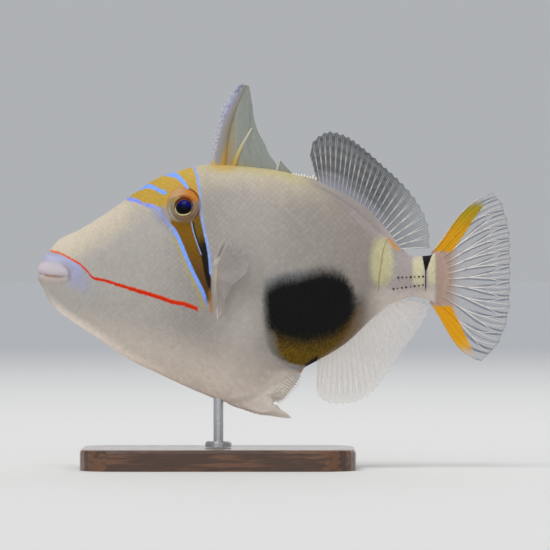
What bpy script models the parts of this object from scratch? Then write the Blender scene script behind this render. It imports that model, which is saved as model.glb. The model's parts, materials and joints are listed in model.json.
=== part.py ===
"""A still, life-size blackbelly triggerfish with its spiny dorsal fin raised, on a display stand.

Metres, +Z up. The snout points along -X and the tail along +X, so the left side faces -Y.
The tables are in millimetres of a fish 180 mm long: x counts back from the front of the lips,
h counts up from the level of the mouth, and y counts out from the middle plane.
"""

import math

import bmesh
import bpy
from mathutils import Matrix, Vector

# Driving sizes
TOTAL_LENGTH = 0.180
TABLE_LENGTH = 180.0
MM = TOTAL_LENGTH / TABLE_LENGTH
MOUTH_HEIGHT = 0.0745
GAP = 0.3
SIDES = {"left": -1, "right": 1}

# Body: top line, bottom line and half width, each as (x, size)
TOP = [(1.2, 3.8), (4.9, 8.7), (8.7, 12.7), (16.3, 16.4), (31.5, 26.2), (39.1, 31.8), (44, 35), (50.5, 37.6),
       (65.7, 41), (84.7, 39.8), (99.9, 36.7), (107, 33.4), (122.7, 24), (134, 13), (139.5, 7.9), (144, 6.2),
       (149, 6.6), (152.4, 8), (157, 8.6)]
BOTTOM = [(1.2, -3.2), (2.5, -6.6), (4.3, -10.5), (8.3, -14.8), (15.4, -19.8), (23.1, -25), (31, -30.5),
          (38.2, -34.7), (46.5, -38.5), (54, -42.1), (61.9, -45.5), (69.5, -48.6), (75, -49.7), (81, -48), (88.5, -44), (97, -39), (106, -32.9),
          (117, -25.4), (128.4, -14.9), (134.1, -10.8), (143.6, -9.2), (149.3, -10.6), (152.4, -11.8), (157, -12)]
HALF_WIDTH = [(1.2, 3), (4.9, 4.7), (8, 5.4), (12, 6.2), (20, 7.8), (35, 10.5), (50, 13), (65, 14.9), (78, 15.1),
              (95, 13.2), (110, 10.2), (125, 6.7), (135, 4.5), (143.6, 3.5), (150, 2.9), (157, 1.3)]
BACK_ROUNDNESS, KEEL_ROUNDNESS = 0.92, 1.3
RING_POINTS = 26
# Rings are closer together where the outline turns faster: (start, end, lengths)
RING_SPANS = [(1.2, 12, 6), (12, 42, 8), (42, 70, 8), (70, 132, 15), (132, 157, 9)]
HEAD_END, TRUNK_END = 65.4, 134.5

# Eye: its place on the head, the raised rim round it, and the ball
EYE_X, EYE_H = 55.9, 24.5
EYE_LEAN = Vector((-0.10, 0.95, 0.27)).normalized()
RIM_RADIUS, RIM_SINK = 7.4, 4.6
BALL_RADIUS, BALL_OUT = 4.8, 3.35
NOSTRILS = [(48.4, 27.6), (47.0, 25.9)]
NOSTRIL_RADIUS, NOSTRIL_DEPTH = 0.5, 1.2

# Lips: (centre x, centre h), (half length, half width, half height)
UPPER_LIP = ((7, 1.7), (7, 6.1, 4.5))
LOWER_LIP = ((7, -2.7), (6.6, 5.8, 4.1))
MOUTH_H, MOUTH_SLOPE, MOUTH_SLIT = -0.45, math.radians(-6), 0.4
MOUTH_ROOM = ((5, -0.9), (7, 6.2, 1.2))

# Gill slit down in front of the side fin, as (share, x, h)
GILL_SLIT = [(0, 71.6, 11.2), (0.3, 69.5, 6.8), (0.55, 68.1, 2), (1, 67.4, -6.5)]
GILL_RADIUS = 0.65
# Bony plates behind the gill slit, as (x, h, half length)
SCUTES = [(75.2, 6.6, 1.5), (77.6, 3.9, 1.3), (75.6, 2.5, 1.2)]
SCUTE_RISE = 0.5

# Rows of small spines on the tail stalk: level of each row at its front and back end
STALK_ROWS = [(-1.9, -1.5), (-6.1, -4.7)]
STALK_SPINES, STALK_ROW_START, STALK_ROW_END = 6, 135.8, 146.6
STALK_SPINE = 1.1

# Soft fins: thickness of fleshy foot, ray and membrane
FOOT_THICK, RAY_THICK, WEB_THICK, EDGE_THICK = 2.2, 0.95, 0.5, 0.4
FOOT_SHARE = 0.26
ROOT_SINK = 2.5

# Each fin line is (share along the fin, x, h); the root lies on the body and the tips on the free edge
SOFT_DORSAL_RAYS = 25
SOFT_DORSAL_ROOT = [(0, 106.4, 33.6), (0.5, 122.2, 24.2), (1, 138.2, 8.9)]
SOFT_DORSAL_TIP = [(0, 103.7, 44.5), (0.04, 104.7, 49.6), (0.09, 107.3, 52.2), (0.16, 111, 53.8), (0.25, 116.3, 52.6),
                   (0.4, 123.5, 47.9), (0.55, 131.1, 41.2), (0.7, 138.7, 34.2), (0.8, 144, 27.9), (0.88, 147.4, 21.7),
                   (0.95, 149.2, 14.8), (1, 149.3, 9.3)]
ANAL_RAYS = 22
ANAL_ROOT = [(0, 106.6, -32.4), (0.5, 122.4, -20.6), (1, 139.4, -9.9)]
ANAL_TIP = [(0, 106.4, -40), (0.05, 106.2, -44.6), (0.12, 107.9, -47.9), (0.22, 112.9, -50), (0.34, 118.9, -49.8),
            (0.45, 124.3, -47.9), (0.55, 128.8, -44.1), (0.65, 132.6, -38.8), (0.74, 136.8, -32.7), (0.83, 141.4, -26.6),
            (0.91, 145.9, -20.1), (0.96, 148.6, -15.2), (1, 149.5, -11.6)]
FIN_WAVE, FIN_WAVES = 1.6, 1.5
CAUDAL_RAYS = 12
CAUDAL_ROOT = [(0, 152.2, 7.6), (0.5, 156.2, -1.8), (1, 151.6, -11.2)]
CAUDAL_TIP = [(0, 173.3, 30.4), (0.05, 175.6, 28.5), (0.15, 178.2, 22.4), (0.3, 179.8, 13.7), (0.45, 180, 5.7),
              (0.6, 180, -3.8), (0.72, 179.7, -12.2), (0.82, 178.4, -19.8), (0.9, 175.9, -25.8), (0.96, 172.5, -30.8),
              (1, 168.7, -33.6)]
CAUDAL_BOW = 3.0

# Side fin: rays as (share down the fin, angle above level, length, angle out from the body)
PECTORAL_RAYS = 13
PECTORAL_TOP, PECTORAL_FOOT = (68.8, 3.2), (68.4, -5.6)
PECTORAL_FAN = [(0, 62, 9.5, 22), (0.22, 44, 13.5, 27), (0.42, 17, 15, 32), (0.62, -24, 13, 60),
                (0.8, -62, 12, 54), (1, -86, 13, 14)]
PECTORAL_TURN = 0.22

# Spiny dorsal fin: spines as (share up the spine, x, h, half depth, half thickness)
FIRST_SPINE = [(0, 68.4, 37, 3, 1.7), (0.2, 69.5, 46.7, 2.7, 1.5), (0.45, 71.3, 55.5, 2.4, 1.2),
               (0.7, 73.8, 62.5, 2, 0.9), (0.88, 76.7, 68, 1.5, 0.7), (1, 78.9, 71.4, 0.7, 0.45)]
SECOND_SPINE = [(0, 73.8, 37.5, 1.1, 0.8), (0.5, 77, 46.5, 0.8, 0.6), (1, 81.7, 55, 0.4, 0.35)]
THIRD_SPINE = [(0, 90.4, 36.5, 0.7, 0.6), (1, 92.3, 43, 0.4, 0.35)]
# Free edge of the web behind the first spine, as (share up the spine, x, h)
WEB_EDGE = [(0, 92.6, 36), (0.12, 91.2, 40.5), (0.25, 88.5, 44.7), (0.42, 85.8, 50.4), (0.56, 83.2, 55.8),
            (0.7, 82.1, 61.8), (0.88, 81.3, 67.6), (1, 80.6, 71)]
BACK_WEB_ROOT = [(0, 90.6, 35.5), (1, 98, 34)]
BACK_WEB_TIP = [(0, 92.2, 42.8), (1, 97.4, 37.2)]
SPINE_TEETH, TOOTH_LENGTH, TOOTH_RADIUS = 13, 2, 0.85

# Belly flap with its stub spine and the rows of spiny scales along its back edge
FLAP_ROOT = [(0, 72.8, -45), (0.5, 86.5, -41), (1, 100.4, -33)]
FLAP_TIP = [(0, 72.4, -48.8), (0.12, 75.5, -51.1), (0.3, 81, -52.6), (0.5, 87.4, -53.4), (0.6, 90.2, -49.5),
            (0.72, 94.2, -48.2), (0.84, 97.4, -44.8), (0.93, 99.9, -41.4), (1, 101.3, -37.4)]
FLAP_FOOT_THICK, FLAP_EDGE_THICK = 4.6, 1.4
STUB_SPINE = [(0, 75.4, -49.6, 1.1, 1.3), (0.5, 86.5, -53, 1.1, 1.1), (0.64, 89.8, -52.6, 1.9, 1.1),
              (0.8, 92.8, -53.6, 1.3, 0.8), (1, 96.1, -54.7, 0.35, 0.35)]
FLAP_SPINES, FLAP_SPINE_LENGTH, FLAP_SPINE_RADIUS = 10, 3.8, 0.6
STUB_BARBS = 5

# Stand
BASE_LENGTH, BASE_WIDTH, BASE_HEIGHT = 104.0, 64.0, 8.0
BASE_CORNER, BASE_EDGE = 14.0, 1.2
ROD_X, ROD_RADIUS, ROD_TOP_H = 68.9, 1.9, -44.0
COLLAR_RADIUS, COLLAR_HEIGHT, COLLAR_EDGE = 5.0, 2.2, 0.6

# Materials as (colour, roughness, metallic)
SKIN = ("skin", (0.60, 0.55, 0.50), 0.45, 0.0)
LIP = ("lip", (0.62, 0.55, 0.56), 0.4, 0.0)
FIN = ("fin", (0.70, 0.70, 0.68), 0.35, 0.0)
SPINE_FIN = ("spine_fin", (0.55, 0.50, 0.42), 0.4, 0.0)
TAIL_FIN = ("tail_fin", (0.85, 0.62, 0.20), 0.35, 0.0)
EYE = ("eye", (0.03, 0.04, 0.15), 0.08, 0.0)
WOOD = ("stand_wood", (0.16, 0.09, 0.05), 0.4, 0.0)
STEEL = ("stand_steel", (0.60, 0.60, 0.62), 0.3, 1.0)


def clear_scene():
    for obj in list(bpy.data.objects):
        bpy.data.objects.remove(obj)


def collection(name):
    made = bpy.data.collections.new(name)
    bpy.context.scene.collection.children.link(made)
    return made


def material(name, colour, roughness, metallic):
    found = bpy.data.materials.get(name)
    if found:
        return found
    made = bpy.data.materials.new(name)
    made.use_nodes = True
    shader = made.node_tree.nodes["Principled BSDF"]
    shader.inputs["Base Color"].default_value = (*colour, 1)
    shader.inputs["Roughness"].default_value = roughness
    shader.inputs["Metallic"].default_value = metallic
    return made


def smooth(knots, t):
    """Values at t of a smooth curve through knots (t, value, ...), which never swings past a knot."""
    i = max(1, min(len(knots) - 1, sum(1 for k in knots if k[0] < t)))
    low, high = knots[i - 1], knots[i]
    width = high[0] - low[0]
    share = min(1.0, max(0.0, (t - low[0]) / width))

    def slope(at, axis):
        if at in (0, len(knots) - 1):
            at = 1 if at == 0 else at
            return (knots[at][axis] - knots[at - 1][axis]) / (knots[at][0] - knots[at - 1][0])
        before = (knots[at][axis] - knots[at - 1][axis]) / (knots[at][0] - knots[at - 1][0])
        after = (knots[at + 1][axis] - knots[at][axis]) / (knots[at + 1][0] - knots[at][0])
        return 0.0 if before * after <= 0 else 2 * before * after / (before + after)

    values = []
    for axis in range(1, len(low)):
        a, b = slope(i - 1, axis) * width, slope(i, axis) * width
        rise = high[axis] - low[axis]
        values.append(low[axis] + share * (a + share * (3 * rise - 2 * a - b + share * (a + b - 2 * rise))))
    return values


def place(x, h, y=0.0):
    """A table place as a point in metres."""
    return Vector((x * MM - TOTAL_LENGTH / 2, y * MM, MOUTH_HEIGHT + h * MM))


def section(x, grow=0.0):
    """Middle level, half depth and half width of the body at x."""
    top, bottom = smooth(TOP, x)[0] + grow, smooth(BOTTOM, x)[0] - grow
    return (top + bottom) / 2, (top - bottom) / 2, smooth(HALF_WIDTH, x)[0] + grow


def round_of(sine, cosine):
    """How far out the section is at a turn from the top, as a share of its half width."""
    return abs(sine) ** (BACK_ROUNDNESS if cosine > 0 else KEEL_ROUNDNESS)


def skin_y(x, h):
    """Half width of the body at x and level h."""
    middle, reach, half = section(x)
    cosine = max(-1.0, min(1.0, (h - middle) / reach))
    return half * round_of(math.sqrt(1 - cosine * cosine), cosine)


def mapped_sheet(columns, rows, where):
    """An open sheet whose corner at shares (u, v) of its sides is at where(u, v), and those shares."""
    sheet = bmesh.new()
    bmesh.ops.create_grid(sheet, x_segments=columns, y_segments=rows, size=0.5)
    shares = [(vert.co.x + 0.5, vert.co.y + 0.5) for vert in sheet.verts]
    for vert, (u, v) in zip(sheet.verts, shares):
        vert.co = where(u, v)
    return sheet, shares


def close_tube(sheet):
    """Joins the seam of a sheet that was rolled into a tube, and closes its ends."""
    bmesh.ops.remove_doubles(sheet, verts=sheet.verts, dist=0.00001)
    bmesh.ops.holes_fill(sheet, edges=[e for e in sheet.edges if e.is_boundary], sides=0)
    bmesh.ops.recalc_face_normals(sheet, faces=sheet.faces)
    return sheet


def finish_mesh(name, sheet, looks=None, into=None):
    """A named object from a bmesh. Without a collection it is a helper that is joined or used up."""
    mesh = bpy.data.meshes.new(name)
    sheet.to_mesh(mesh)
    sheet.free()
    obj = bpy.data.objects.new(name, mesh)
    (into or bpy.context.scene.collection).objects.link(obj)
    if looks:
        mesh.materials.append(material(*looks))
    return obj


def apply_modifiers(obj):
    bpy.context.view_layer.update()
    graph = bpy.context.evaluated_depsgraph_get()
    mesh = bpy.data.meshes.new_from_object(obj.evaluated_get(graph))
    obj.modifiers.clear()
    obj.data = mesh


def keep_largest(obj):
    """Keeps only the largest closed surface of a mesh, which drops scraps and sealed hollows."""
    mesh = bmesh.new()
    mesh.from_mesh(obj.data)
    left, islands = set(mesh.verts), []
    while left:
        front, island = [left.pop()], []
        while front:
            vert = front.pop()
            island.append(vert)
            near = {edge.other_vert(vert) for edge in vert.link_edges} & left
            left -= near
            front.extend(near)
        islands.append(island)
    islands.sort(key=len)
    for island in islands[:-1]:
        bmesh.ops.delete(mesh, geom=island, context="VERTS")
    mesh.to_mesh(obj.data)
    mesh.free()


def combine(obj, others, operation):
    """Joins others to obj, or cuts them from it, by one Boolean, and removes them."""
    group = collection("pieces")
    for other in others:
        for home in list(other.users_collection):
            home.objects.unlink(other)
        group.objects.link(other)
    boolean = obj.modifiers.new(operation.lower(), "BOOLEAN")
    boolean.operation = operation
    boolean.operand_type = "COLLECTION"
    boolean.collection = group
    boolean.solver = "EXACT"
    apply_modifiers(obj)
    for other in others:
        bpy.data.objects.remove(other)
    bpy.data.collections.remove(group)
    keep_largest(obj)
    return obj


def shade(obj, angle=math.radians(40)):
    obj.data.shade_smooth()
    obj.data.set_sharp_from_angle(angle=angle)
    return obj


def body_sheet(grow=0.0):
    """The whole body as one closed loft of rings, larger all round by grow."""
    stations = [start + (end - start) * k / count for start, end, count in RING_SPANS for k in range(count)]
    stations.append(RING_SPANS[-1][1])

    def where(u, v):
        x = stations[round(u * (len(stations) - 1))]
        middle, reach, half = section(x, grow)
        turn = 2 * math.pi * v
        sine, cosine = math.sin(turn), math.cos(turn)
        stretch = grow * (2 * u - 1)
        return place(x + stretch, middle + reach * cosine, math.copysign(half * round_of(sine, cosine), sine))

    sheet, _ = mapped_sheet(len(stations) - 1, RING_POINTS, where)
    return close_tube(sheet)


def body_helper(name="body_gap"):
    """The body grown by the gap, to cut the foot of whatever grows from it."""
    return finish_mesh(name, body_sheet(GAP))


def body_length(name, start, end, looks, into):
    """The length of the body between two upright cuts."""
    sheet = body_sheet()
    for x, normal in ((start, -1), (end, 1)):
        if x is None:
            continue
        faces = list(sheet.verts) + list(sheet.edges) + list(sheet.faces)
        bmesh.ops.bisect_plane(sheet, geom=faces, plane_co=place(x, 0), plane_no=(normal, 0, 0), clear_outer=True)
        bmesh.ops.holes_fill(sheet, edges=[e for e in sheet.edges if e.is_boundary], sides=0)
    bmesh.ops.recalc_face_normals(sheet, faces=sheet.faces)
    return finish_mesh(name, sheet, looks, into)


def ball(name, centre, radii, columns=20, rows=12, looks=None, into=None):
    """An ellipsoid with its poles to the sides."""
    sheet = bmesh.new()
    bmesh.ops.create_uvsphere(sheet, u_segments=columns, v_segments=rows, radius=1)
    turn = Matrix.Rotation(math.radians(90), 4, "X")
    size = Matrix.Diagonal((radii[0] * MM, radii[1] * MM, radii[2] * MM, 1))
    bmesh.ops.transform(sheet, verts=sheet.verts, matrix=Matrix.Translation(centre) @ size @ turn)
    return finish_mesh(name, sheet, looks, into)


def spike(foot, tip, radius, sides=4):
    """A cone from foot to tip."""
    line = tip - foot
    sheet = bmesh.new()
    bmesh.ops.create_cone(sheet, cap_ends=True, segments=sides, radius1=radius * MM, radius2=0, depth=line.length)
    matrix = Matrix.Translation((foot + tip) / 2) @ line.to_track_quat("Z", "Y").to_matrix().to_4x4()
    bmesh.ops.transform(sheet, verts=sheet.verts, matrix=matrix)
    return finish_mesh("spike", sheet)


def spine(name, line, around=8, along=8, looks=None, into=None):
    """A flattened, tapering spine along a line of (share, x, h, half depth, half thickness)."""
    step = 0.01

    def where(u, v):
        x, h, depth, thick = smooth(line, u)
        ahead, behind = smooth(line, min(1, u + step)), smooth(line, max(0, u - step))
        run = Vector((ahead[0] - behind[0], ahead[1] - behind[1])).normalized()
        turn = 2 * math.pi * v
        across = depth * math.cos(turn)
        return place(x - run.y * across, h + run.x * across, thick * math.sin(turn))

    sheet, _ = mapped_sheet(along, around, where)
    return finish_mesh(name, close_tube(sheet), looks, into)


def thicken(obj, shares, thickness):
    """Turns an open sheet into a solid that is thickness(u, v) millimetres thick at each corner."""
    sizes = [thickness(u, v) for u, v in shares]
    least, most = min(sizes), max(sizes)
    group = obj.vertex_groups.new(name="thickness")
    for index, size in enumerate(sizes):
        group.add([index], (size - least) / max(most - least, 0.001), "REPLACE")
    solid = obj.modifiers.new("thickness", "SOLIDIFY")
    solid.thickness = most * MM
    solid.thickness_vertex_group = least / most
    solid.vertex_group = group.name
    solid.offset = 0
    apply_modifiers(obj)
    return obj


def fin_solid(name, columns, rows, where, thickness, looks=None, into=None):
    """A fin as a mapped sheet, split into triangles and thickened."""
    sheet, shares = mapped_sheet(columns, rows, where)
    bmesh.ops.triangulate(sheet, faces=sheet.faces)
    return thicken(finish_mesh(name, sheet, looks, into), shares, thickness)


def ease(a, b, share):
    share = min(1.0, max(0.0, share))
    return a + (b - a) * share * share * (3 - 2 * share)


def soft_fin(name, rays, root, tip, looks, into, phase):
    """An upright fin of many rays, a column on each ray and one between, waving a little at its edge."""
    columns, rows = 2 * (rays - 1), 5

    def on_ray(u):
        return round(u * columns) % 2 == 0

    def where(u, v):
        low, high = Vector(smooth(root, u)), Vector(smooth(tip, u))
        inward = (low - high).normalized() * ROOT_SINK
        notch = 0 if on_ray(u) else 0.025
        at = low + inward + (high - low - inward) * v * (1 - notch * v)
        wave = FIN_WAVE * math.sin(2 * math.pi * (FIN_WAVES * u + phase)) * v * v
        return place(at.x, at.y, wave)

    def thickness(u, v):
        above_foot = v / FOOT_SHARE
        level = RAY_THICK if on_ray(u) else WEB_THICK
        return ease(FOOT_THICK, level, above_foot) if above_foot < 1 else ease(level, EDGE_THICK, (v - 0.6) / 0.4)

    fin = fin_solid(name, columns, rows, where, thickness, looks, into)
    return shade(combine(fin, [body_helper()], "DIFFERENCE"))


def caudal_fin(into):
    """The tail fin: each ray is one ridge at its root and two at the edge."""
    per_ray, rows = 4, 5
    columns = per_ray * CAUDAL_RAYS

    def where(u, v):
        low, high = Vector(smooth(CAUDAL_ROOT, u)), Vector(smooth(CAUDAL_TIP, u))
        inward = Vector((-1, 0)) * ROOT_SINK
        line = high - low - inward
        valley = round(u * columns) % per_ray == 0
        at = low + inward + line * v * (1 - (0.02 * v if valley and 0 < u < 1 else 0))
        bow = CAUDAL_BOW * (1 - 2 * u) * 6.75 * v * v * (1 - v)
        side = Vector((-line.y, line.x)).normalized() * bow
        return place(at.x + side.x, at.y + side.y)

    def thickness(u, v):
        column = round(u * columns) % per_ray
        if column == 0:
            level = WEB_THICK
        elif column == per_ray // 2:
            level = ease(RAY_THICK, WEB_THICK + 0.1, v / 0.7)
        else:
            level = ease(WEB_THICK + 0.15, RAY_THICK, v / 0.7)
        return ease(FOOT_THICK, level, v / 0.2) if v < 0.2 else ease(level, EDGE_THICK, (v - 0.7) / 0.3)

    fin = fin_solid("caudal_fin", columns, rows, where, thickness, TAIL_FIN, into)
    return shade(combine(fin, [body_helper()], "DIFFERENCE"))


def pectoral_fin(side, into):
    """A side fin, a fan of rays that stand out from the flank and curl back as they leave it."""
    columns, rows = 2 * (PECTORAL_RAYS - 1), 6
    out = SIDES[side]

    def where(u, v):
        x = PECTORAL_TOP[0] + (PECTORAL_FOOT[0] - PECTORAL_TOP[0]) * u
        h = PECTORAL_TOP[1] + (PECTORAL_FOOT[1] - PECTORAL_TOP[1]) * u
        root = Vector((x, h, skin_y(x, h)))
        angle, length, open_by = smooth(PECTORAL_FAN, u)
        angle, open_by = math.radians(angle), math.radians(open_by)
        along = Vector((math.cos(angle) * math.cos(open_by), math.sin(angle) * math.cos(open_by), math.sin(open_by)))
        straight_out = Vector((0, 0, 1))
        if v < PECTORAL_TURN:
            at = root + straight_out * (v / PECTORAL_TURN * (1 + ROOT_SINK) - ROOT_SINK)
        else:
            reach = (v - PECTORAL_TURN) / (1 - PECTORAL_TURN)
            notch = 0 if round(u * columns) % 2 == 0 else 0.03
            at = root + straight_out + along * length * reach * (1 - notch * reach)
        return place(at.x, at.y, out * at.z)

    def thickness(u, v):
        level = RAY_THICK if round(u * columns) % 2 == 0 else WEB_THICK
        return ease(1.6, level, (v - 0.1) / 0.25) if v < 0.35 else ease(level, EDGE_THICK, (v - 0.6) / 0.4)

    fin = fin_solid(f"pectoral_fin_{side}", columns, rows, where, thickness, FIN, into)
    return shade(combine(fin, [body_helper()], "DIFFERENCE"))


def spiny_dorsal_fin(into):
    """Three spines with their webs; the first spine has teeth up its front."""
    def web(name, near, far, columns, rows):
        def where(u, v):
            low, high = Vector(smooth(near, u)[:2]), Vector(smooth(far, u)[:2])
            return place(*(low + (high - low) * v))
        return fin_solid(name, columns, rows, where, lambda u, v: ease(0.8, WEB_THICK, v / 0.5))

    pieces = [
        web("web", FIRST_SPINE, WEB_EDGE, 9, 5),
        web("back_web", BACK_WEB_ROOT, BACK_WEB_TIP, 3, 2),
        spine("second_spine", SECOND_SPINE, 6, 5),
        spine("third_spine", THIRD_SPINE, 6, 2),
    ]
    for k in range(SPINE_TEETH):
        share = 0.22 + 0.76 * k / (SPINE_TEETH - 1)
        x, h, depth, _ = smooth(FIRST_SPINE, share)
        x_up, h_up = smooth(FIRST_SPINE, min(1, share + 0.05))[:2]
        run = Vector((x_up - x, h_up - h)).normalized() if share < 1 else Vector((0, 1))
        front = Vector((-run.y, run.x))
        length = TOOTH_LENGTH * (0.6 + 0.4 * share)
        aside = 0.35 * (-1) ** k * (1.3 - share)
        foot = Vector((x, h)) + front * (depth * 0.7)
        tip = Vector((x, h)) + front * (depth + 0.6 * length) + run * (0.6 * length)
        pieces.append(spike(place(*foot, aside), place(*tip, aside * 1.6), TOOTH_RADIUS))
    fin = combine(spine("spiny_dorsal_fin", FIRST_SPINE, 10, 12, SPINE_FIN, into), pieces, "UNION")
    return shade(combine(fin, [body_helper()], "DIFFERENCE"))


def belly_flap(into):
    """The thin flap of the belly, its stub spine below, and spiny scales on its back edge."""
    def where(u, v):
        low, high = Vector(smooth(FLAP_ROOT, u)), Vector(smooth(FLAP_TIP, u))
        return place(*(low + (high - low) * v))

    flap = fin_solid("belly_flap", 16, 5, where, lambda u, v: ease(FLAP_FOOT_THICK, FLAP_EDGE_THICK, v), SKIN, into)
    pieces = [spine("stub_spine", STUB_SPINE, 8, 7)]
    for k in range(FLAP_SPINES):
        share = 0.64 + 0.32 * k / (FLAP_SPINES - 1)
        edge = Vector(smooth(FLAP_TIP, share))
        out = Vector((0.86, -0.5)).normalized()
        aside = 0.2 * (-1) ** k
        foot, tip = edge - out * FLAP_SPINE_LENGTH * 0.75, edge + out * FLAP_SPINE_LENGTH * 0.25
        pieces.append(spike(place(*foot, aside), place(*tip, 2 * aside), FLAP_SPINE_RADIUS))
    for k in range(STUB_BARBS):
        share = 0.5 + 0.4 * k / (STUB_BARBS - 1)
        x, h, depth, _ = smooth(STUB_SPINE, share)
        aside = 0.4 * (-1) ** k
        pieces.append(spike(place(x, h - 0.4 * depth, aside), place(x + 1.7, h - depth - 0.5, 1.6 * aside), 0.45))
    combine(flap, pieces, "UNION")
    return shade(combine(flap, [body_helper()], "DIFFERENCE"))


def eye_centre(side, out):
    """The point out millimetres from the middle of the eye's rim, along the eye's own line of sight."""
    lean = Vector((EYE_LEAN.x, EYE_LEAN.z, EYE_LEAN.y))
    at = Vector((EYE_X, EYE_H, skin_y(EYE_X, EYE_H))) + lean * (out - RIM_SINK)
    return place(at.x, at.y, SIDES[side] * at.z)


def lip(name, shape, grow=0.0, looks=None, into=None):
    (x, h), radii = shape
    return ball(name, place(x, h), [r + grow for r in radii], 20, 12, looks, into)


def cut_lip(obj, keep_above):
    """Cuts a lip along the sloping line of the mouth."""
    up = Vector((-math.sin(MOUTH_SLOPE), 0, math.cos(MOUTH_SLOPE)))
    offset = MOUTH_SLIT / 2 if keep_above else -MOUTH_SLIT / 2
    sheet = bmesh.new()
    sheet.from_mesh(obj.data)
    geometry = list(sheet.verts) + list(sheet.edges) + list(sheet.faces)
    bmesh.ops.bisect_plane(
        sheet, geom=geometry, plane_co=place(0, MOUTH_H + offset), plane_no=up,
        clear_inner=keep_above, clear_outer=not keep_above)
    bmesh.ops.holes_fill(sheet, edges=[e for e in sheet.edges if e.is_boundary], sides=0)
    bmesh.ops.recalc_face_normals(sheet, faces=sheet.faces)
    sheet.to_mesh(obj.data)
    sheet.free()
    return shade(obj)


def head(into):
    made = body_length("head", None, HEAD_END - GAP / 2, SKIN, into)
    combine(made, [ball("rim", eye_centre(s, 0), [RIM_RADIUS] * 3, 20, 14) for s in SIDES], "UNION")
    cutters = [ball("socket", eye_centre(s, BALL_OUT), [BALL_RADIUS + GAP] * 3, 16, 12) for s in SIDES]
    cutters += [lip("lip_room", shape, GAP) for shape in (UPPER_LIP, LOWER_LIP)]
    cutters.append(lip("mouth_room", MOUTH_ROOM))
    for x, h in NOSTRILS:
        for out in SIDES.values():
            at = skin_y(x, h)
            inner, outer = place(x, h, out * (at - NOSTRIL_DEPTH)), place(x, h, out * (at + 4))
            cutters.append(spike(outer, inner - (outer - inner), NOSTRIL_RADIUS * 2, 8))
    return shade(combine(made, cutters, "DIFFERENCE"))


def trunk(into):
    made = body_length("trunk", HEAD_END + GAP / 2, TRUNK_END - GAP / 2, SKIN, into)
    plates = []
    for out in SIDES.values():
        for x, h, half in SCUTES:
            plates.append(ball("scute", place(x, h, out * (skin_y(x, h) - 0.3)), (half, 0.3 + SCUTE_RISE, half), 8, 6))
    combine(made, plates, "UNION")
    return shade(combine(made, [slit_piece(out) for out in SIDES.values()], "DIFFERENCE"))


def slit_piece(out):
    """A bar along the gill slit, half sunk in the flank and thinner towards its ends."""
    def where(u, v):
        x, h = smooth(GILL_SLIT, u)
        turn = 2 * math.pi * v
        radius = GILL_RADIUS * (0.35 + 0.65 * math.sin(math.pi * u))
        return place(x + radius * math.cos(turn), h, out * (skin_y(x, h) + radius * math.sin(turn)))
    sheet, _ = mapped_sheet(7, 6, where)
    return finish_mesh("slit", close_tube(sheet))


def tail_stalk(into):
    made = body_length("tail_stalk", TRUNK_END + GAP / 2, None, SKIN, into)
    spikes = []
    for front_h, back_h in STALK_ROWS:
        for k in range(STALK_SPINES):
            share = k / (STALK_SPINES - 1)
            x = STALK_ROW_START + (STALK_ROW_END - STALK_ROW_START) * share
            h = front_h + (back_h - front_h) * share
            for out in SIDES.values():
                foot, tip = place(x + 0.5, h, out * (skin_y(x, h) - 0.6)), place(x - 0.5, h, out * (skin_y(x, h) + 0.55))
                spikes.append(spike(foot, tip, STALK_SPINE / 2, 5))
    return shade(combine(made, spikes, "UNION"))


def stand(into):
    centre_x = ROD_X * MM - TOTAL_LENGTH / 2
    base = bmesh.new()
    bmesh.ops.create_cube(base, size=1)
    size = Matrix.Diagonal((BASE_LENGTH * MM, BASE_WIDTH * MM, BASE_HEIGHT * MM, 1))
    bmesh.ops.transform(base, verts=base.verts, matrix=Matrix.Translation((centre_x, 0, BASE_HEIGHT * MM / 2)) @ size)
    upright = [e for e in base.edges if abs(e.verts[0].co.z - e.verts[1].co.z) > BASE_HEIGHT * MM / 2]
    bmesh.ops.bevel(base, geom=upright, offset=BASE_CORNER * MM, segments=6, profile=0.5, affect="EDGES")
    rim = [e for e in base.edges if min(v.co.z for v in e.verts) > 0.9 * BASE_HEIGHT * MM]
    bmesh.ops.bevel(base, geom=rim, offset=BASE_EDGE * MM, segments=2, profile=0.5, affect="EDGES")
    shade(finish_mesh("stand_base", base, WOOD, into))

    foot = (BASE_HEIGHT + GAP) * MM
    top = MOUTH_HEIGHT + ROD_TOP_H * MM
    profile = [
        (0, top), (ROD_RADIUS * MM, top), (ROD_RADIUS * MM, foot + COLLAR_HEIGHT * MM),
        ((COLLAR_RADIUS - COLLAR_EDGE) * MM, foot + COLLAR_HEIGHT * MM),
        (COLLAR_RADIUS * MM, foot + (COLLAR_HEIGHT - COLLAR_EDGE) * MM), (COLLAR_RADIUS * MM, foot), (0, foot)]
    turned = bmesh.new()
    points = [turned.verts.new((r, 0, z)) for r, z in profile]
    for a, b in zip(points, points[1:]):
        turned.edges.new((a, b))
    rod = finish_mesh("stand_rod", turned, STEEL, into)
    screw = rod.modifiers.new("turn", "SCREW")
    screw.steps = screw.render_steps = 20
    screw.use_merge_vertices = True
    screw.merge_threshold = 0.00001
    screw.use_smooth_shade = False
    apply_modifiers(rod)
    rod.data.transform(Matrix.Translation((centre_x, 0, 0)))
    shade(combine(rod, [body_helper()], "DIFFERENCE"))


def eyes(into):
    for side in SIDES:
        shade(ball(f"eye_{side}", eye_centre(side, BALL_OUT), [BALL_RADIUS] * 3, 16, 12, EYE, into))


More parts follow.
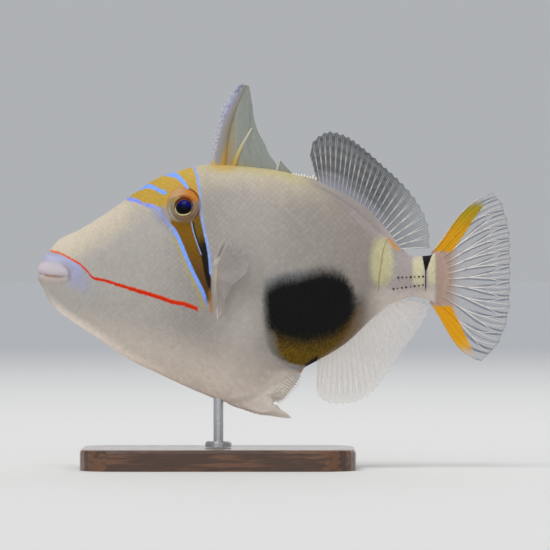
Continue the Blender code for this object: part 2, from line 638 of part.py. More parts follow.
def main():
    clear_scene()
    fish = collection("triggerfish")
    head(fish)
    trunk(fish)
    tail_stalk(fish)
    cut_lip(lip("upper_lip", UPPER_LIP, 0, LIP, fish), True)
    cut_lip(lip("lower_lip", LOWER_LIP, 0, LIP, fish), False)
    eyes(fish)
    spiny_dorsal_fin(fish)
    soft_fin("soft_dorsal_fin", SOFT_DORSAL_RAYS, SOFT_DORSAL_ROOT, SOFT_DORSAL_TIP, FIN, fish, 0.15)
    soft_fin("anal_fin", ANAL_RAYS, ANAL_ROOT, ANAL_TIP, FIN, fish, 0.65)
    caudal_fin(fish)
    for side in SIDES:
        pectoral_fin(side, fish)
    belly_flap(fish)
    stand(fish)


main()
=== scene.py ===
import json
import math
import random

import bmesh
import bpy
import numpy as np
from bpy.props import FloatProperty, FloatVectorProperty, IntProperty, PointerProperty
from mathutils import Matrix, Vector, noise

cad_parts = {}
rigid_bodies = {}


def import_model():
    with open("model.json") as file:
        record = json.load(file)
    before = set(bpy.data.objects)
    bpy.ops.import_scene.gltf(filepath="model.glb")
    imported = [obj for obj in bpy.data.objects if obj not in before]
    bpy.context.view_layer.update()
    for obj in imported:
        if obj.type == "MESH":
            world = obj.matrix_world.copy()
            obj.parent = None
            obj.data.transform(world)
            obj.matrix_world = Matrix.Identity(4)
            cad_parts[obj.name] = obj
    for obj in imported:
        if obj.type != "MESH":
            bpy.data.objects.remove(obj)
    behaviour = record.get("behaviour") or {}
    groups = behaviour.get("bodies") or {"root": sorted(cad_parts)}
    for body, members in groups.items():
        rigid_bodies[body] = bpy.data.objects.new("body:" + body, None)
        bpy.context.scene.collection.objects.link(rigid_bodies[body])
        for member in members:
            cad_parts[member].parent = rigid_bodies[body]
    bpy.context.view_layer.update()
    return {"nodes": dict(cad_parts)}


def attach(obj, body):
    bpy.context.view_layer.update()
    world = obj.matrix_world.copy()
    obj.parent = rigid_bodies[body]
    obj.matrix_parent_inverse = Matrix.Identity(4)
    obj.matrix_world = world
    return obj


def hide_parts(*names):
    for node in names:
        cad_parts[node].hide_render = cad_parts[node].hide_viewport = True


bl_info = {
    "name": "Blackbelly triggerfish model",
    "version": (1, 0, 0),
    "blender": (4, 5, 0),
    "location": "3D View > Sidebar > Fish",
    "description": "Dresses the packed triggerfish solids: skin, scales, fins, eyes, spines and stand",
    "category": "Object",
}

for leftover in list(bpy.data.objects):
    bpy.data.objects.remove(leftover)
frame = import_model()

# Tables are in millimetres: x back from the lips, h up from the mouth, y out from the middle
MM = 0.001
SEAM = 1e-7
FULL_TURN = 2 * math.pi
NOSE_X, MOUTH_Z = -0.090, 0.0745
TOP = [(1.2, 3.8), (4.9, 8.7), (8.7, 12.7), (16.3, 16.4), (31.5, 26.2), (39.1, 31.8), (44, 35), (50.5, 37.6),
       (65.7, 41), (84.7, 39.8), (99.9, 36.7), (107, 33.4), (122.7, 24), (134, 13), (139.5, 7.9), (144, 6.2),
       (149, 6.6), (152.4, 8), (157, 8.6)]
BOTTOM = [
    (1.2, -3.2), (2.5, -6.6), (4.3, -10.5), (8.3, -14.8), (15.4, -19.8), (23.1, -25), (31, -30.5),
    (38.2, -34.7), (46.5, -38.5), (54, -42.1), (61.9, -45.5), (69.5, -48.6), (75, -49.7), (81, -48),
    (88.5, -44), (97, -39), (106, -32.9), (117, -25.4), (128.4, -14.9), (134.1, -10.8), (143.6, -9.2),
    (149.3, -10.6), (152.4, -11.8), (157, -12)]
HALF_WIDTH = [
    (1.2, 3), (4.9, 4.7), (8, 5.4), (12, 6.2), (20, 7.8), (35, 10.5), (50, 13), (65, 14.9), (78, 15.1),
    (95, 13.2), (110, 10.2), (125, 6.7), (135, 4.5), (143.6, 3.4), (149, 2.5), (153, 1.1), (155, 0.55),
    (157, 0.3)]
BACK_ROUNDNESS, KEEL_ROUNDNESS = 0.92, 1.3
# The rings' middle near the lips, and how the hind end is rounded off and curls in at its top and foot
NOSE_LEVEL, NOSE_END = -0.3, 4
TAIL_ROUND = 1.4
TAIL_CURL, TAIL_CURL_START, TAIL_CURL_RUN, TAIL_CURL_LEVEL = 0.035, 149, 8, -1.8
SIDES = {"left": -1, "right": 1}

# Skin: rings along the body as (start, end, rings), points on half a ring, and the rounded ends
RING_SPANS = [
    (2, 13, 44), (13, 42, 58), (42, 72, 70), (72, 86, 20), (86, 91, 16), (91, 132, 56), (132, 157.4, 62)]
NOSE_START, NOSE_RINGS, NOSE_ROUND = 0.9, 9, 1.0
HALF_POINTS = 129
PROFILE_SAMPLES = 420
# Height of the fleshy foot of the soft fins above the body's edge
DORSAL_FOOT = [
    (99.5, 0), (103, 0.7), (106, 1.5), (109, 1.5), (116, 2.1), (126, 2.7), (132, 2.6), (138, 0.9), (142, 0),
    (157, 0)]
ANAL_FOOT = [(101, 0), (107, 0.9), (120, 1.7), (130, 1.5), (138, 0.5), (142, 0), (157, 0)]
FOOT_HALF, FOOT_EDGE, FOOT_RUN = 1.3, 0.35, 4
FLAP_EDGE = [
    (1, -3), (71.4, -48.8), (73, -50), (75.5, -51.1), (81, -52.6), (87, -53.6), (88.6, -53.2), (89.6, -50.2),
    (90.2, -49), (93, -48.1), (94.6, -46.6), (96, -44.9), (97.6, -43.1), (99.4, -40.3), (100.6, -37.6),
    (101.8, -35.7), (157, -12)]
FLAP_HALF, FLAP_EDGE_HALF, FLAP_RUN = 3.6, 0.6, 7
FLAP_SPAN, FLAP_THIN_START, FLAP_THIN_RUN = (60, 102), 84, 17

# Eye
PUPIL_X, PUPIL_H = 55.95, 24.6
TURRET_X, TURRET_H = 56.0, 25.4
TURRET_HALF = (6.35, 6.9)
RIM_X, RIM_H, RIM_DROP = 56.15, 25.15, 0.93
BALL_BACK, BALL_DOWN = 0.28, 0.97
EYE_LEAN = Vector((-0.10, 0.95, 0.27)).normalized()
BALL_SINK = 1.4
TURRET_UNDER = [(0, -2.5), (3, -2.5), (4.2, 1.2), (5, 1.05), (6, 0.42), (6.8, 0.1), (7.6, 0), (9, 0)]
TURRET = [
    (3.3, -0.6), (3.4, 1.0), (3.5, 1.6), (3.7, 1.92), (3.95, 2.02), (4.3, 1.95), (4.7, 1.78), (5.1, 1.5),
    (5.5, 1.16), (5.9, 0.8), (6.3, 0.48), (6.7, 0.26), (7.3, 0.1), (7.9, 0.02), (8.5, -0.14)]
# Share of the ball's turn that its front takes, dish of the iris, height of the lens, and width of the map
BALL_FRONT, IRIS_DISH, LENS_RISE, EYE_MAP = 0.32, 0.34, 0.42, 12
NOSTRILS = [(48.4, 27.6), (47.0, 25.9)]
NOSTRIL = [(0, -0.8), (0.26, -0.75), (0.38, -0.1), (0.5, 0.16), (0.68, 0.12), (1.1, -0.08)]

# Mouth and gill
LIP_LENGTH, LIP_HEIGHT, LIP_LEVEL, LIP_ROUND = 11.6, 5.6, -1.2, 2.6
MOUTH_LINE = [(0.5, -0.2), (1.3, -0.4), (3, -0.92), (5, -1.28), (7, -1.5), (9.6, -1.72), (14, -1.9)]
MOUTH_END = 9.6
LIP_PLUMP = (0.62, 0.4)
NOSE_FACE = [
    (-6.5, 0), (-3.8, -0.2), (-2.2, -0.42), (-1.0, -0.15), (-0.4, 0.2), (0.2, -0.15), (1.2, -0.55),
    (2.4, -0.4), (4.4, 0)]
NOSE_FACE_RUN = 4.0
GILL_LINE = [(-6.5, 67.4), (2, 68.1), (6.8, 69.5), (11.2, 71.6)]
GILL_KNOB, CHEEK_HOLLOW, FIN_SWELL = (68.3, 4.3), (47.5, 17.5), (68.6, -1.2)
# Unevenness of the skin as (height, grain)
SKIN_NOISE = [(0.10, 7.0), (0.03, 2.1)]

# Scales: size along the body as (x, size), and their relief
SCALE_SIZE = [
    (12, 1.25), (25, 1.55), (45, 1.95), (65, 2.35), (90, 2.7), (125, 2.6), (140, 1.9), (152, 1.45),
    (158, 1.4)]
SCALE_START, SCALE_END = 13.4, 155.6
# Share of its place that half a plate takes, height of the map of a side, and size of a plate on it
SCALE_REACH, SCALE_MAP, SCALE_ON_MAP = 0.49, 140, 0.0014
# Bare places: round an eye, a nostril and the mouth, and along the gill as (half width, low, high)
BARE_EYE, BARE_NOSTRIL, BARE_MOUTH, BARE_GILL = 7.2, 1.4, 12.6, (1.2, -7, 11.5)
# Bare oval at a side fin as (x, h, half width, half height), and where the feet of the soft fins start
BARE_FIN, BARE_DORSAL_FOOT, BARE_ANAL_FOOT = (68.8, -1.2, 1.6, 5.6), 105, 103

# Fin lines, the same as the solids: (share along the fin, x, h)
ROOT_SINK = 2.5
SOFT_DORSAL = {
    "rays": 25, "phase": 0.15,
    "root": [(0, 106.4, 33.6), (0.5, 122.2, 24.2), (1, 138.2, 8.9)],
    "tip": [
        (0, 103.7, 44.5), (0.04, 104.7, 49.6), (0.09, 107.3, 52.2), (0.16, 111, 53.8), (0.25, 116.3, 52.6),
        (0.4, 123.5, 47.9), (0.55, 131.1, 41.2), (0.7, 138.7, 34.2), (0.8, 144, 27.9), (0.88, 147.4, 21.7),
        (0.95, 149.2, 14.8), (1, 149.3, 9.3)],
}
ANAL = {
    "rays": 22, "phase": 0.65,
    "root": [(0, 106.6, -32.4), (0.5, 122.4, -20.6), (1, 139.4, -9.9)],
    "tip": [
        (0, 106.4, -40), (0.05, 106.2, -44.6), (0.12, 107.9, -47.9), (0.22, 112.9, -50),
        (0.34, 118.9, -49.8), (0.45, 124.3, -47.9), (0.55, 128.8, -44.1), (0.65, 132.6, -38.8),
        (0.74, 136.8, -32.7), (0.83, 141.4, -26.6), (0.91, 145.9, -20.1), (0.96, 148.6, -15.2),
        (1, 149.5, -11.6)],
}
FIN_WAVE, FIN_WAVES = 1.6, 1.5
CAUDAL_RAYS = 12
CAUDAL_ROOT = [(0, 152.2, 7.6), (0.5, 156.2, -1.8), (1, 151.6, -11.2)]
CAUDAL_TIP = [
    (0, 173.3, 30.4), (0.05, 175.6, 28.5), (0.15, 178.2, 22.4), (0.3, 179.8, 13.7), (0.45, 180, 5.7),
    (0.6, 180, -3.8), (0.72, 179.7, -12.2), (0.82, 178.4, -19.8), (0.9, 175.9, -25.8), (0.96, 172.5, -30.8),
    (1, 168.7, -33.6)]
CAUDAL_BOW = 3.0
PECTORAL_RAYS = 13
PECTORAL_TOP, PECTORAL_FOOT = (68.8, 3.2), (68.4, -5.6)
PECTORAL_FAN = [(0, 62, 9.5, 22), (0.22, 44, 13.5, 27), (0.42, 17, 15, 32), (0.62, -24, 13, 60),
                (0.8, -62, 12, 54), (1, -86, 13, 14)]
PECTORAL_TURN = 0.22
WEB_THICK = 0.16
# How far the first and last ray stand in from the fin's ends, as a share along it
EDGE_RAY_IN = 0.004

# Spiny dorsal fin: spines as (share up the spine, x, h, half depth, half thickness)
FIRST_SPINE = [(0, 68.4, 37, 3, 1.7), (0.2, 69.5, 46.7, 2.7, 1.5), (0.45, 71.3, 55.5, 2.4, 1.2),
               (0.7, 73.8, 62.5, 2, 0.9), (0.88, 76.7, 68, 1.5, 0.7), (1, 78.9, 71.4, 0.7, 0.45)]
SECOND_SPINE = [(0, 73.8, 37.5, 1.1, 0.8), (0.5, 77, 46.5, 0.8, 0.6), (1, 81.7, 55, 0.4, 0.35)]
THIRD_SPINE = [(0, 90.4, 36.5, 0.7, 0.6), (1, 92.3, 43, 0.4, 0.35)]
WEB_EDGE = [(0, 92.6, 36), (0.12, 91.2, 40.5), (0.25, 88.5, 44.7), (0.42, 85.8, 50.4), (0.56, 83.2, 55.8),
            (0.7, 82.1, 61.8), (0.88, 81.3, 67.6), (1, 80.6, 71)]
BACK_WEB_ROOT = [(0, 90.6, 35.5), (1, 98, 34)]
BACK_WEB_TIP = [(0, 92.2, 42.8), (1, 97.4, 37.2)]
STUB_SPINE = [
    (0, 75.4, -49.6, 1.1, 1.3), (0.5, 86.5, -53, 1.1, 1.1), (0.64, 89.6, -52.3, 2.2, 1.0),
    (0.78, 92, -53.3, 1.5, 0.8), (0.9, 94.5, -54.1, 0.9, 0.5), (1, 96.3, -54.8, 0.12, 0.12)]
FLAP_REAR = [(0, 90.6, -48.7), (0.25, 93, -47.6), (0.5, 95.2, -45.3), (0.75, 97.8, -42.3), (1, 100, -38.3)]
SCUTES = [(75.2, 6.6, 1.5), (77.6, 3.9, 1.3), (75.6, 2.5, 1.2), (79.3, 6.9, 1.0), (77.5, 8.6, 0.9)]
STALK_ROWS = [(7, 137.2, -1.9, -1.5), (8, 135.4, -6.2, -4.7)]
STALK_END = 146.6
COMB_ROWS, COMB_STEP, STUB_BARBS = (16, 15, 13), (-1.36, 0.986), 26
RIDGE_TIPS, RIDGE_START, RIDGE_STEP = 9, 97.2, 1.08

# Stage, in metres but for the floor's fade, which is in millimetres from the fish
FLOOR_RADIUS, FLOOR_FADE = 80, (350, 3600)
SKY_COLOUR = (0.93, 0.96, 1.0, 1)
# Soft lamps as (direction to the lamp, its width in degrees)
LAMPS = {"key": ((-0.18, -0.42, 1), 38), "front": ((-0.25, -1, 0.10), 70), "behind": ((0.3, 1, 0.35), 70)}
CAMERA_X, CAMERA_CLIP, SENSOR = 0.0004, (0.05, 50), 36

# Lines of the pattern: (x, h) where the line runs along the body, (h, x) where it runs up it
BACK_LINE = [(0, 3), (9, 13), (31, 26), (50, 37.6), (66, 41), (85, 39.8), (107, 33.4), (134, 13), (157, 8.6)]
KEEL_LINE = [(2.5, -6.6), (8.3, -14.8), (23.1, -25), (38.2, -34.7), (54, -42.1), (69.5, -48.6), (81, -52.4)]
# FIN_CREASE: where painted shade runs in the crease at the soft dorsal fin's foot
FIN_CREASE = [(104, 33.6), (106.3, 32.9), (118.9, 25.3), (130.3, 15.4), (134, 11.2)]
PATCH_FRONT = [
    (-37, 98), (-35, 94.5), (-33, 91.5), (-29.4, 89), (-22, 87.3), (-14, 86.5), (-3, 86.2), (2, 87)]
PATCH_ROOF = [
    (84.5, -10), (87, -7), (90, -4.6), (94, -2.8), (99, -2.2), (104, -0.6), (110, 0.4), (115, -0.6),
    (118.4, -4), (121.5, -10)]
PATCH_REAR = [(-34, 106), (-30, 112), (-25.6, 117), (-19.9, 120.4), (-12.3, 121.6), (-4.7, 120), (2, 114)]
PATCH_CORNER = [(84, -3.5), (90, -1.6), (98, 0.4), (106, 1.5)]
PATCH_GOLD = [
    (86, -21.6), (88.4, -23.1), (92.4, -25.4), (96.5, -26.5), (103.3, -27.1), (110, -26.1), (115.4, -23),
    (119.5, -18.2), (122, -13)]
PATCH_FOOT = [(86, -28), (90.4, -32.1), (93, -33.6), (98.7, -35.5), (104, -36.2), (118, -37)]
PATCH_HEEL = [(101, -36.4), (102, -35.7), (104, -34.3), (106.8, -32.3)]
OVAL_EDGE = [(-7, 129.6), (-0.9, 130), (4, 130.8), (8.6, 131.5), (13, 133.6)]
STALK_GOLD = [(8, 137.4), (13.4, 133)]
STALK_OVALS = [(144.8, 0.6, 2.4, 6.0), (150.1, 1.6, 1.9, 7.2)]
MASK_FRONT = [
    (-13.1, 64.9), (-8.9, 63.8), (-4.3, 61.8), (-0.2, 59.7), (4, 57.8), (8.6, 55.9), (13.1, 54.0),
    (16.9, 52.0), (18.5, 50.4), (21.1, 48.1), (23.8, 46.2), (25.3, 43.4), (26.4, 39.8), (27.6, 36.6),
    (28, 34.1)]
MASK_REAR = [
    (-14, 65.9), (-5.5, 66.3), (1, 66.2), (5.5, 65.7), (10.5, 64.9), (15.4, 63.8), (19.2, 63), (23, 62.3),
    (29.5, 61.9), (33.3, 61.5), (37.1, 60.7), (39.7, 59.6), (42, 58.6)]
BAND_REAR = [(-6, 65.2), (0, 63.6), (5, 62.7), (8.6, 61.7), (12, 60.7), (15.4, 59.6), (19.6, 58.9)]
BAND_TIP = [(-15.4, 66.6), (-12.9, 66.3), (-9, 65.9), (-6, 65.6)]
BLUE_FRONT = [
    (-14, 65), (-8.9, 63.8), (-4.3, 61.8), (-0.2, 59.7), (4, 57.8), (8.6, 55.9), (13.1, 54.0), (16.9, 51.9),
    (18.5, 50.4), (21.1, 48.1), (23.8, 46.4)]
BLUE_REAR = [
    (-1.2, 66.2), (5.5, 65.7), (10.5, 64.9), (15.4, 63.8), (19.2, 63), (23, 62.4), (29.5, 62.1), (33.3, 61.5),
    (37.1, 60.7), (39.7, 59.7), (42.5, 58.8)]
INNER_LINE = [(6.6, 62.7), (8.6, 61.9), (12, 60.7), (15.4, 59.6), (19.4, 58.8)]
# Bars over the forehead: line, half width, softness of the edge and of the ends
VIOLET_BARS = [
    ([(34.0, 28), (37.2, 27.5), (40.4, 25.9)], 0.74, 0.22, 0.7),
    ([(41.0, 25.8), (43.4, 25.2), (45.2, 24.6), (48.0, 22.3)], 0.75, 0.3, 0.7)]
BLUE_BARS = [
    ([(38.3, 31.3), (40, 32.4), (42.1, 32.8), (44.8, 32.1), (46.7, 31), (49.4, 30.2)], 0.86, 0.22, 0.8),
    ([(49.0, 37.4), (51, 37.5), (53.1, 36.7), (55, 35), (57.5, 32.0)], 0.95, 0.22, 0.9)]
# Places from the pupil, back and up
# LID_FOLD: where painted shade runs under the lid fold above the ball
LID_FOLD = [(-5.2, 2.8), (-3.3, 3.7), (-1.2, 4.2), (1.4, 4.0)]
RED_LINE = [
    (4.6, 8.4), (8.7, 7.4), (12.5, 5.5), (16.3, 3.3), (19.3, 0.6), (22, -2.1), (25.8, -2.9), (31.5, -4.7),
    (39.1, -7), (46.7, -9.3), (52.4, -11.2), (56.2, -11.9), (61.3, -13.8)]
GILL_STRIP = [(-17.3, 68.9), (-10.4, 70.2), (-5, 70.6), (-2, 70.4)]
# Orange bars of the tail fin as (h, x) of the middle and (h, half width)
TAIL_BAR_UP = [
    (5, 152.0), (7.9, 154.0), (13.6, 158.1), (19.3, 161.9), (23.8, 165.5), (26.9, 168.1), (31, 171.6)]
TAIL_HALF_UP = [(5, 3.2), (8, 3.6), (16, 3.5), (22, 3.2), (26.9, 2.3), (29, 1.7)]
TAIL_BAR_LOW = [(-34, 167.6), (-31, 164.8), (-27, 161.4), (-20, 157.6), (-13, 154.1), (-9, 152.2)]
TAIL_HALF_LOW = [(-33, 1.4), (-30, 2.2), (-26, 3.0), (-17, 3.5), (-12, 3.7)]
SPINE_REAR = [(37, 68.9), (46.7, 70.2), (55.5, 72), (62.5, 74.3), (68, 77), (72, 79.3)]


def tone(red, green, blue):
    """A linear colour from the usual 0 to 255 values."""
    shares = (channel / 255 for channel in (red, green, blue))
    return tuple(c / 12.92 if c <= 0.04045 else ((c + 0.055) / 1.055) ** 2.4 for c in shares)


def colour(name, about, red, green, blue):
    """A colour setting, given from 0 to 255."""
    return FloatVectorProperty(
        name=name, description=about, subtype="COLOR", size=3, min=0, max=1, default=tone(red, green, blue))


def length(name, about, default):
    """A length setting, in metres."""
    return FloatProperty(
        name=name, description=about, default=default, min=0, subtype="DISTANCE", unit="LENGTH")


def strength(name, about, default):
    """A setting for how strong a light is."""
    return FloatProperty(name=name, description=about, default=default, min=0)


class FishSizes(bpy.types.PropertyGroup):
    pupil: length("Pupil", "Radius of the pupil", 0.0029)
    iris: length("Iris", "Radius of the iris", 0.0038)
    eyeball: length("Eyeball", "Radius of the eyeball", 0.0047)
    scale_rise: length("Scale rise", "How far the middle of a scale stands above the skin", 0.0001)
    ray: length("Ray", "Radius of a soft ray at its root", 0.00042)
    spine_teeth: IntProperty(
        name="Spine teeth", description="Teeth in a row up the first dorsal spine", default=14, min=4)


class FishColours(bpy.types.PropertyGroup):
    flank: colour("Flank", "Grey of the flank", 164, 157, 151)
    cheek: colour("Cheek", "Pale grey of the cheek", 182, 176, 169)
    back: colour("Back", "Warm tan along the back", 207, 194, 165)
    snout: colour("Snout", "Pale tan of the forehead below the mask", 212, 200, 180)
    # Belly: its own pale countershading, painted lighter still as light bounced up from the floor
    belly: colour("Belly", "Pinkish grey of the belly", 242, 228, 214)
    rear: colour("Rear", "Darker grey behind the belly patch", 149, 140, 130)
    lip: colour("Lip", "Pale lilac of the lips", 200, 190, 196)
    mouth: colour("Mouth", "Brown of the mouth line", 136, 118, 112)
    lilac: colour("Lilac", "Lilac round the lips", 160, 164, 200)
    red: colour("Red line", "Line from the mouth to the side fin", 218, 44, 4)
    mask: colour("Mask", "Golden forehead", 201, 165, 66)
    turret: colour("Turret", "Orange tan above the eye", 190, 126, 62)
    blue: colour("Blue", "Bright blue bars", 132, 172, 252)
    pale_blue: colour("Pale blue", "Thin blue line behind the eye", 150, 172, 228)
    olive: colour("Olive", "Band below the eye", 136, 96, 6)
    yellow: colour("Yellow", "Olive yellow edge and ovals", 196, 184, 116)
    patch: colour("Patch", "Black patch on the belly", 8, 9, 9)
    gold: colour("Gold", "Golden lower edge of the patch", 128, 98, 12)
    tail_base: colour("Tail base", "Pinkish brown base of the tail fin", 182, 156, 142)
    tail_bar: colour("Tail bar", "Orange yellow bars of the tail fin", 232, 166, 0)
    web: colour("Web", "Clear web of the fins", 196, 196, 198)
    ray: colour("Ray", "Pale soft rays", 198, 190, 184)
    ray_dark: colour("Ray shade", "Dark dashes and shadow lines of the rays", 82, 84, 100)
    spine: colour("Spine", "Grey lilac of the first dorsal spine", 156, 152, 154)
    spine_web: colour("Spine web", "Greenish grey web of the spiny fin", 138, 144, 132)


class StageSettings(bpy.types.PropertyGroup):
    floor: colour("Floor", "Pale floor", 226, 225, 222)
    distance: length("Distance", "From the camera to the fish", 2.0)
    across: length("Across", "Width of the picture at the fish", 0.209)
    camera_height: length("Camera height", "Height of the camera above the floor", 0.0736)
    far: colour("Far floor", "Floor far behind the fish", 168, 170, 174)
    key: strength("Key light", "Strength of the soft light above", 1.5)
    fill: strength("Fill light", "Strength of the low soft lights in front and behind", 0.62)
    sky: strength("Surround", "Strength of the even light", 0.46)


def place(x, h, y=0.0):
    """A table place as a point in metres."""
    return Vector((x * MM + NOSE_X, y * MM, MOUTH_Z + h * MM))


def smooth(knots, t):
    """Values at t of a smooth curve through knots (t, value, ...), which never swings past a knot."""
    i = max(1, min(len(knots) - 1, sum(1 for k in knots if k[0] < t)))
    low, high = knots[i - 1], knots[i]
    width = high[0] - low[0]
    share = min(1.0, max(0.0, (t - low[0]) / width))

    def slope(at, axis):
        if at in (0, len(knots) - 1):
            at = 1 if at == 0 else at
            return (knots[at][axis] - knots[at - 1][axis]) / (knots[at][0] - knots[at - 1][0])
        before = (knots[at][axis] - knots[at - 1][axis]) / (knots[at][0] - knots[at - 1][0])
        after = (knots[at + 1][axis] - knots[at][axis]) / (knots[at + 1][0] - knots[at][0])
        return 0.0 if before * after <= 0 else 2 * before * after / (before + after)

    values = []
    for axis in range(1, len(low)):
        a, b = slope(i - 1, axis) * width, slope(i, axis) * width
        rise = high[axis] - low[axis]
        values.append(low[axis] + share * (a + share * (3 * rise - 2 * a - b + share * (a + b - 2 * rise))))
    return values


def ease(a, b, share):
    """From a to b with a soft start and a soft end."""
    share = min(1.0, max(0.0, share))
    return a + (b - a) * share * share * (3 - 2 * share)


def hill(distance, reach):
    """1 in the middle of a soft hill, falling to nothing a few reaches away."""
    return np.exp(-((distance / reach) ** 2))


def body_half_width(x, h):
    """Half width of the plain body at x and level h."""
    top, bottom = smooth(TOP, x)[0], smooth(BOTTOM, x)[0]
    turn = max(-1.0, min(1.0, (2 * h - top - bottom) / (top - bottom)))
    power = BACK_ROUNDNESS if turn > 0 else KEEL_ROUNDNESS
    return smooth(HALF_WIDTH, x)[0] * math.sqrt(1 - turn * turn) ** power


class Skin:
    """The skin of one side as a grid of points, from the nose to the tail and from the back to the belly."""

    def __init__(self):
        step = np.linspace(0, 1, NOSE_RINGS, endpoint=False)
        xs = [NOSE_START + (RING_SPANS[0][0] - NOSE_START) * s ** 2.2 for s in step]
        for start, end, rings in RING_SPANS:
            xs += [start + (end - start) * k / rings for k in range(rings)]
        self.stations = xs + [RING_SPANS[-1][1]]
        self.plain = np.array([self.half_section(x) for x in self.stations])
        normal = self.outward(self.plain)
        self.points = self.plain + normal * self.relief()[..., None]
        self.points[:, [0, -1], 1] = 0
        self.points[-1, :, 1] = 0
        self.normals = self.outward(self.points)
        self.unroll()
        self.points += np.array(EYE_LEAN)[None, None, :] * self.turret()[..., None]

    def half_section(self, x):
        """Points (x, y, h) of half a ring, evenly spaced from the back to the belly."""
        dome = min(1.0, max(0.0, (x - NOSE_START) / NOSE_ROUND))
        dome = math.sqrt(1 - (1 - dome) ** 2)
        tail_round = math.sqrt(min(1.0, max(0.0, (RING_SPANS[-1][1] - x) / TAIL_ROUND)))
        top, bottom = smooth(TOP, x)[0], smooth(BOTTOM, x)[0]
        half = smooth(HALF_WIDTH, x)[0] * dome * tail_round
        middle = (top + bottom) / 2
        if x <= NOSE_END:
            middle = NOSE_LEVEL + (middle - NOSE_LEVEL) * (x / NOSE_END) ** 2
        reach = (top - bottom) / 2 * dome
        dorsal_foot = smooth(DORSAL_FOOT, x)[0]
        crest = reach + middle + dorsal_foot
        flap = middle - reach
        if FLAP_SPAN[0] < x < FLAP_SPAN[1]:
            flap = min(flap, smooth(FLAP_EDGE, x)[0])
        base = flap - smooth(ANAL_FOOT, x)[0]
        turn = np.linspace(0, math.pi, PROFILE_SAMPLES)
        h = (crest + base) / 2 + (crest - base) / 2 * np.cos(turn)
        share = np.clip((h - middle) / max(reach, 1e-6), -1, 1)
        power = np.where(share > 0, BACK_ROUNDNESS, KEEL_ROUNDNESS)
        y = half * np.sqrt(1 - share ** 2) ** power
        y = self.with_blade(y, crest - h, dorsal_foot, FOOT_HALF, FOOT_EDGE, FOOT_RUN)
        thinner = (x - FLAP_THIN_START) / FLAP_THIN_RUN
        wide, thin = ease(FLAP_HALF, FOOT_HALF, thinner), ease(FLAP_EDGE_HALF, FOOT_EDGE, thinner)
        run_out = FLAP_RUN if wide > 2 else FOOT_RUN
        y = self.with_blade(y, h - base, middle - reach - base, wide, thin, run_out)
        run = np.concatenate([[0], np.cumsum(np.hypot(np.diff(h), np.diff(y)))])
        even = np.linspace(0, run[-1], HALF_POINTS)
        levels = np.interp(even, run, h)
        face = self.follow(NOSE_FACE, levels) * max(0.0, 1 - (x - NOSE_START) / NOSE_FACE_RUN) ** 1.5
        curl = TAIL_CURL * np.clip((x - TAIL_CURL_START) / TAIL_CURL_RUN, 0, 1) ** 2
        back = x + face - curl * (levels - TAIL_CURL_LEVEL) ** 2
        return np.stack([back, np.interp(even, run, y), levels], axis=1)

    @staticmethod
    def follow(knots, at):
        """Straight lines through knots (place, value), read at many places at once."""
        return np.interp(at, [k[0] for k in knots], [k[1] for k in knots])

    @staticmethod
    def with_blade(y, depth, height, wide, thin, run_out):
        """Adds a thin upright blade, so deep from its edge, with a soft hollow where it leaves the body."""
        if height <= 0.01:
            return y
        blade = thin + (wide - thin) * np.clip(depth / (height + 2.5), 0, 1)
        blade = blade * np.sqrt(np.clip(1 - (1 - depth / thin) ** 2, 0, 1) * (depth < thin) + (depth >= thin))
        fade = np.clip((height + run_out - depth) / run_out, 0, 1)
        blade = blade * min(1.0, height / 0.8) * fade * fade * (3 - 2 * fade)
        return (np.abs(y) ** 2.5 + np.abs(blade) ** 2.5) ** 0.4

    @staticmethod
    def outward(points):
        """Outward directions of a grid of points."""
        along, down = np.gradient(points, axis=0), np.gradient(points, axis=1)
        normal = np.cross(along, down)
        normal[:, [0, -1], 1] = 0
        normal[0] = (-1, 0, 0)
        normal[-1] = (1, 0, 0)
        normal = normal / np.maximum(np.linalg.norm(normal, axis=2, keepdims=True), 1e-9)
        normal[1:-1] *= np.sign(np.sum(normal[:, 20:-20, 1]))
        return normal

    def relief(self):
        """How far the skin stands above or below the plain body: lips, mouth, gill, hollows."""
        x, h = self.plain[..., 0], self.plain[..., 2]

        # Lips, with the groove and the low ridge round them
        back = np.clip((x - 1) / LIP_LENGTH, 0, 1)
        reach = LIP_HEIGHT * (1 - back ** LIP_ROUND) ** (1 / LIP_ROUND) + 1e-6
        mouth = self.follow(MOUTH_LINE, x)
        upper = h >= mouth
        span = np.where(upper, LIP_LEVEL + reach - mouth, mouth - (LIP_LEVEL - reach))
        across = np.clip(np.abs(h - mouth) / np.maximum(span, 0.05), 0, 1)
        plump = np.where(upper, *LIP_PLUMP) * np.clip(1 - back ** 3, 0, 1) ** 0.6
        rise = plump * np.sin(np.pi * across ** 0.62) ** 1.3 * np.clip((h + 7.0) / 3.4, 0, 1)
        around = (back ** LIP_ROUND + (np.abs(h - LIP_LEVEL) / LIP_HEIGHT) ** LIP_ROUND) ** (1 / LIP_ROUND)
        chin = np.clip((h + 4.6) / 2.4, 0, 1)
        rise -= 0.15 * hill(around - 1.02, 0.055) * (x < 16) * np.clip(back * 2.2 - 0.8, 0, 1) * chin
        rise += 0.1 * hill(around - 1.28, 0.11) * (x < 18) * back * chin

        # Mouth slit, with the folds at its corner
        open_to = np.clip((MOUTH_END - x) / 2.4, 0, 1)
        rise -= (0.05 + 0.1 * open_to) * hill(h - mouth, 0.4) * np.clip((MOUTH_END + 1.6 - x) / 1.6, 0, 1)
        rise -= 0.12 * np.sin(h * 1.9 + x * 0.4) * hill(x - 9.8, 1.6) * hill(h + 1.5, 4)

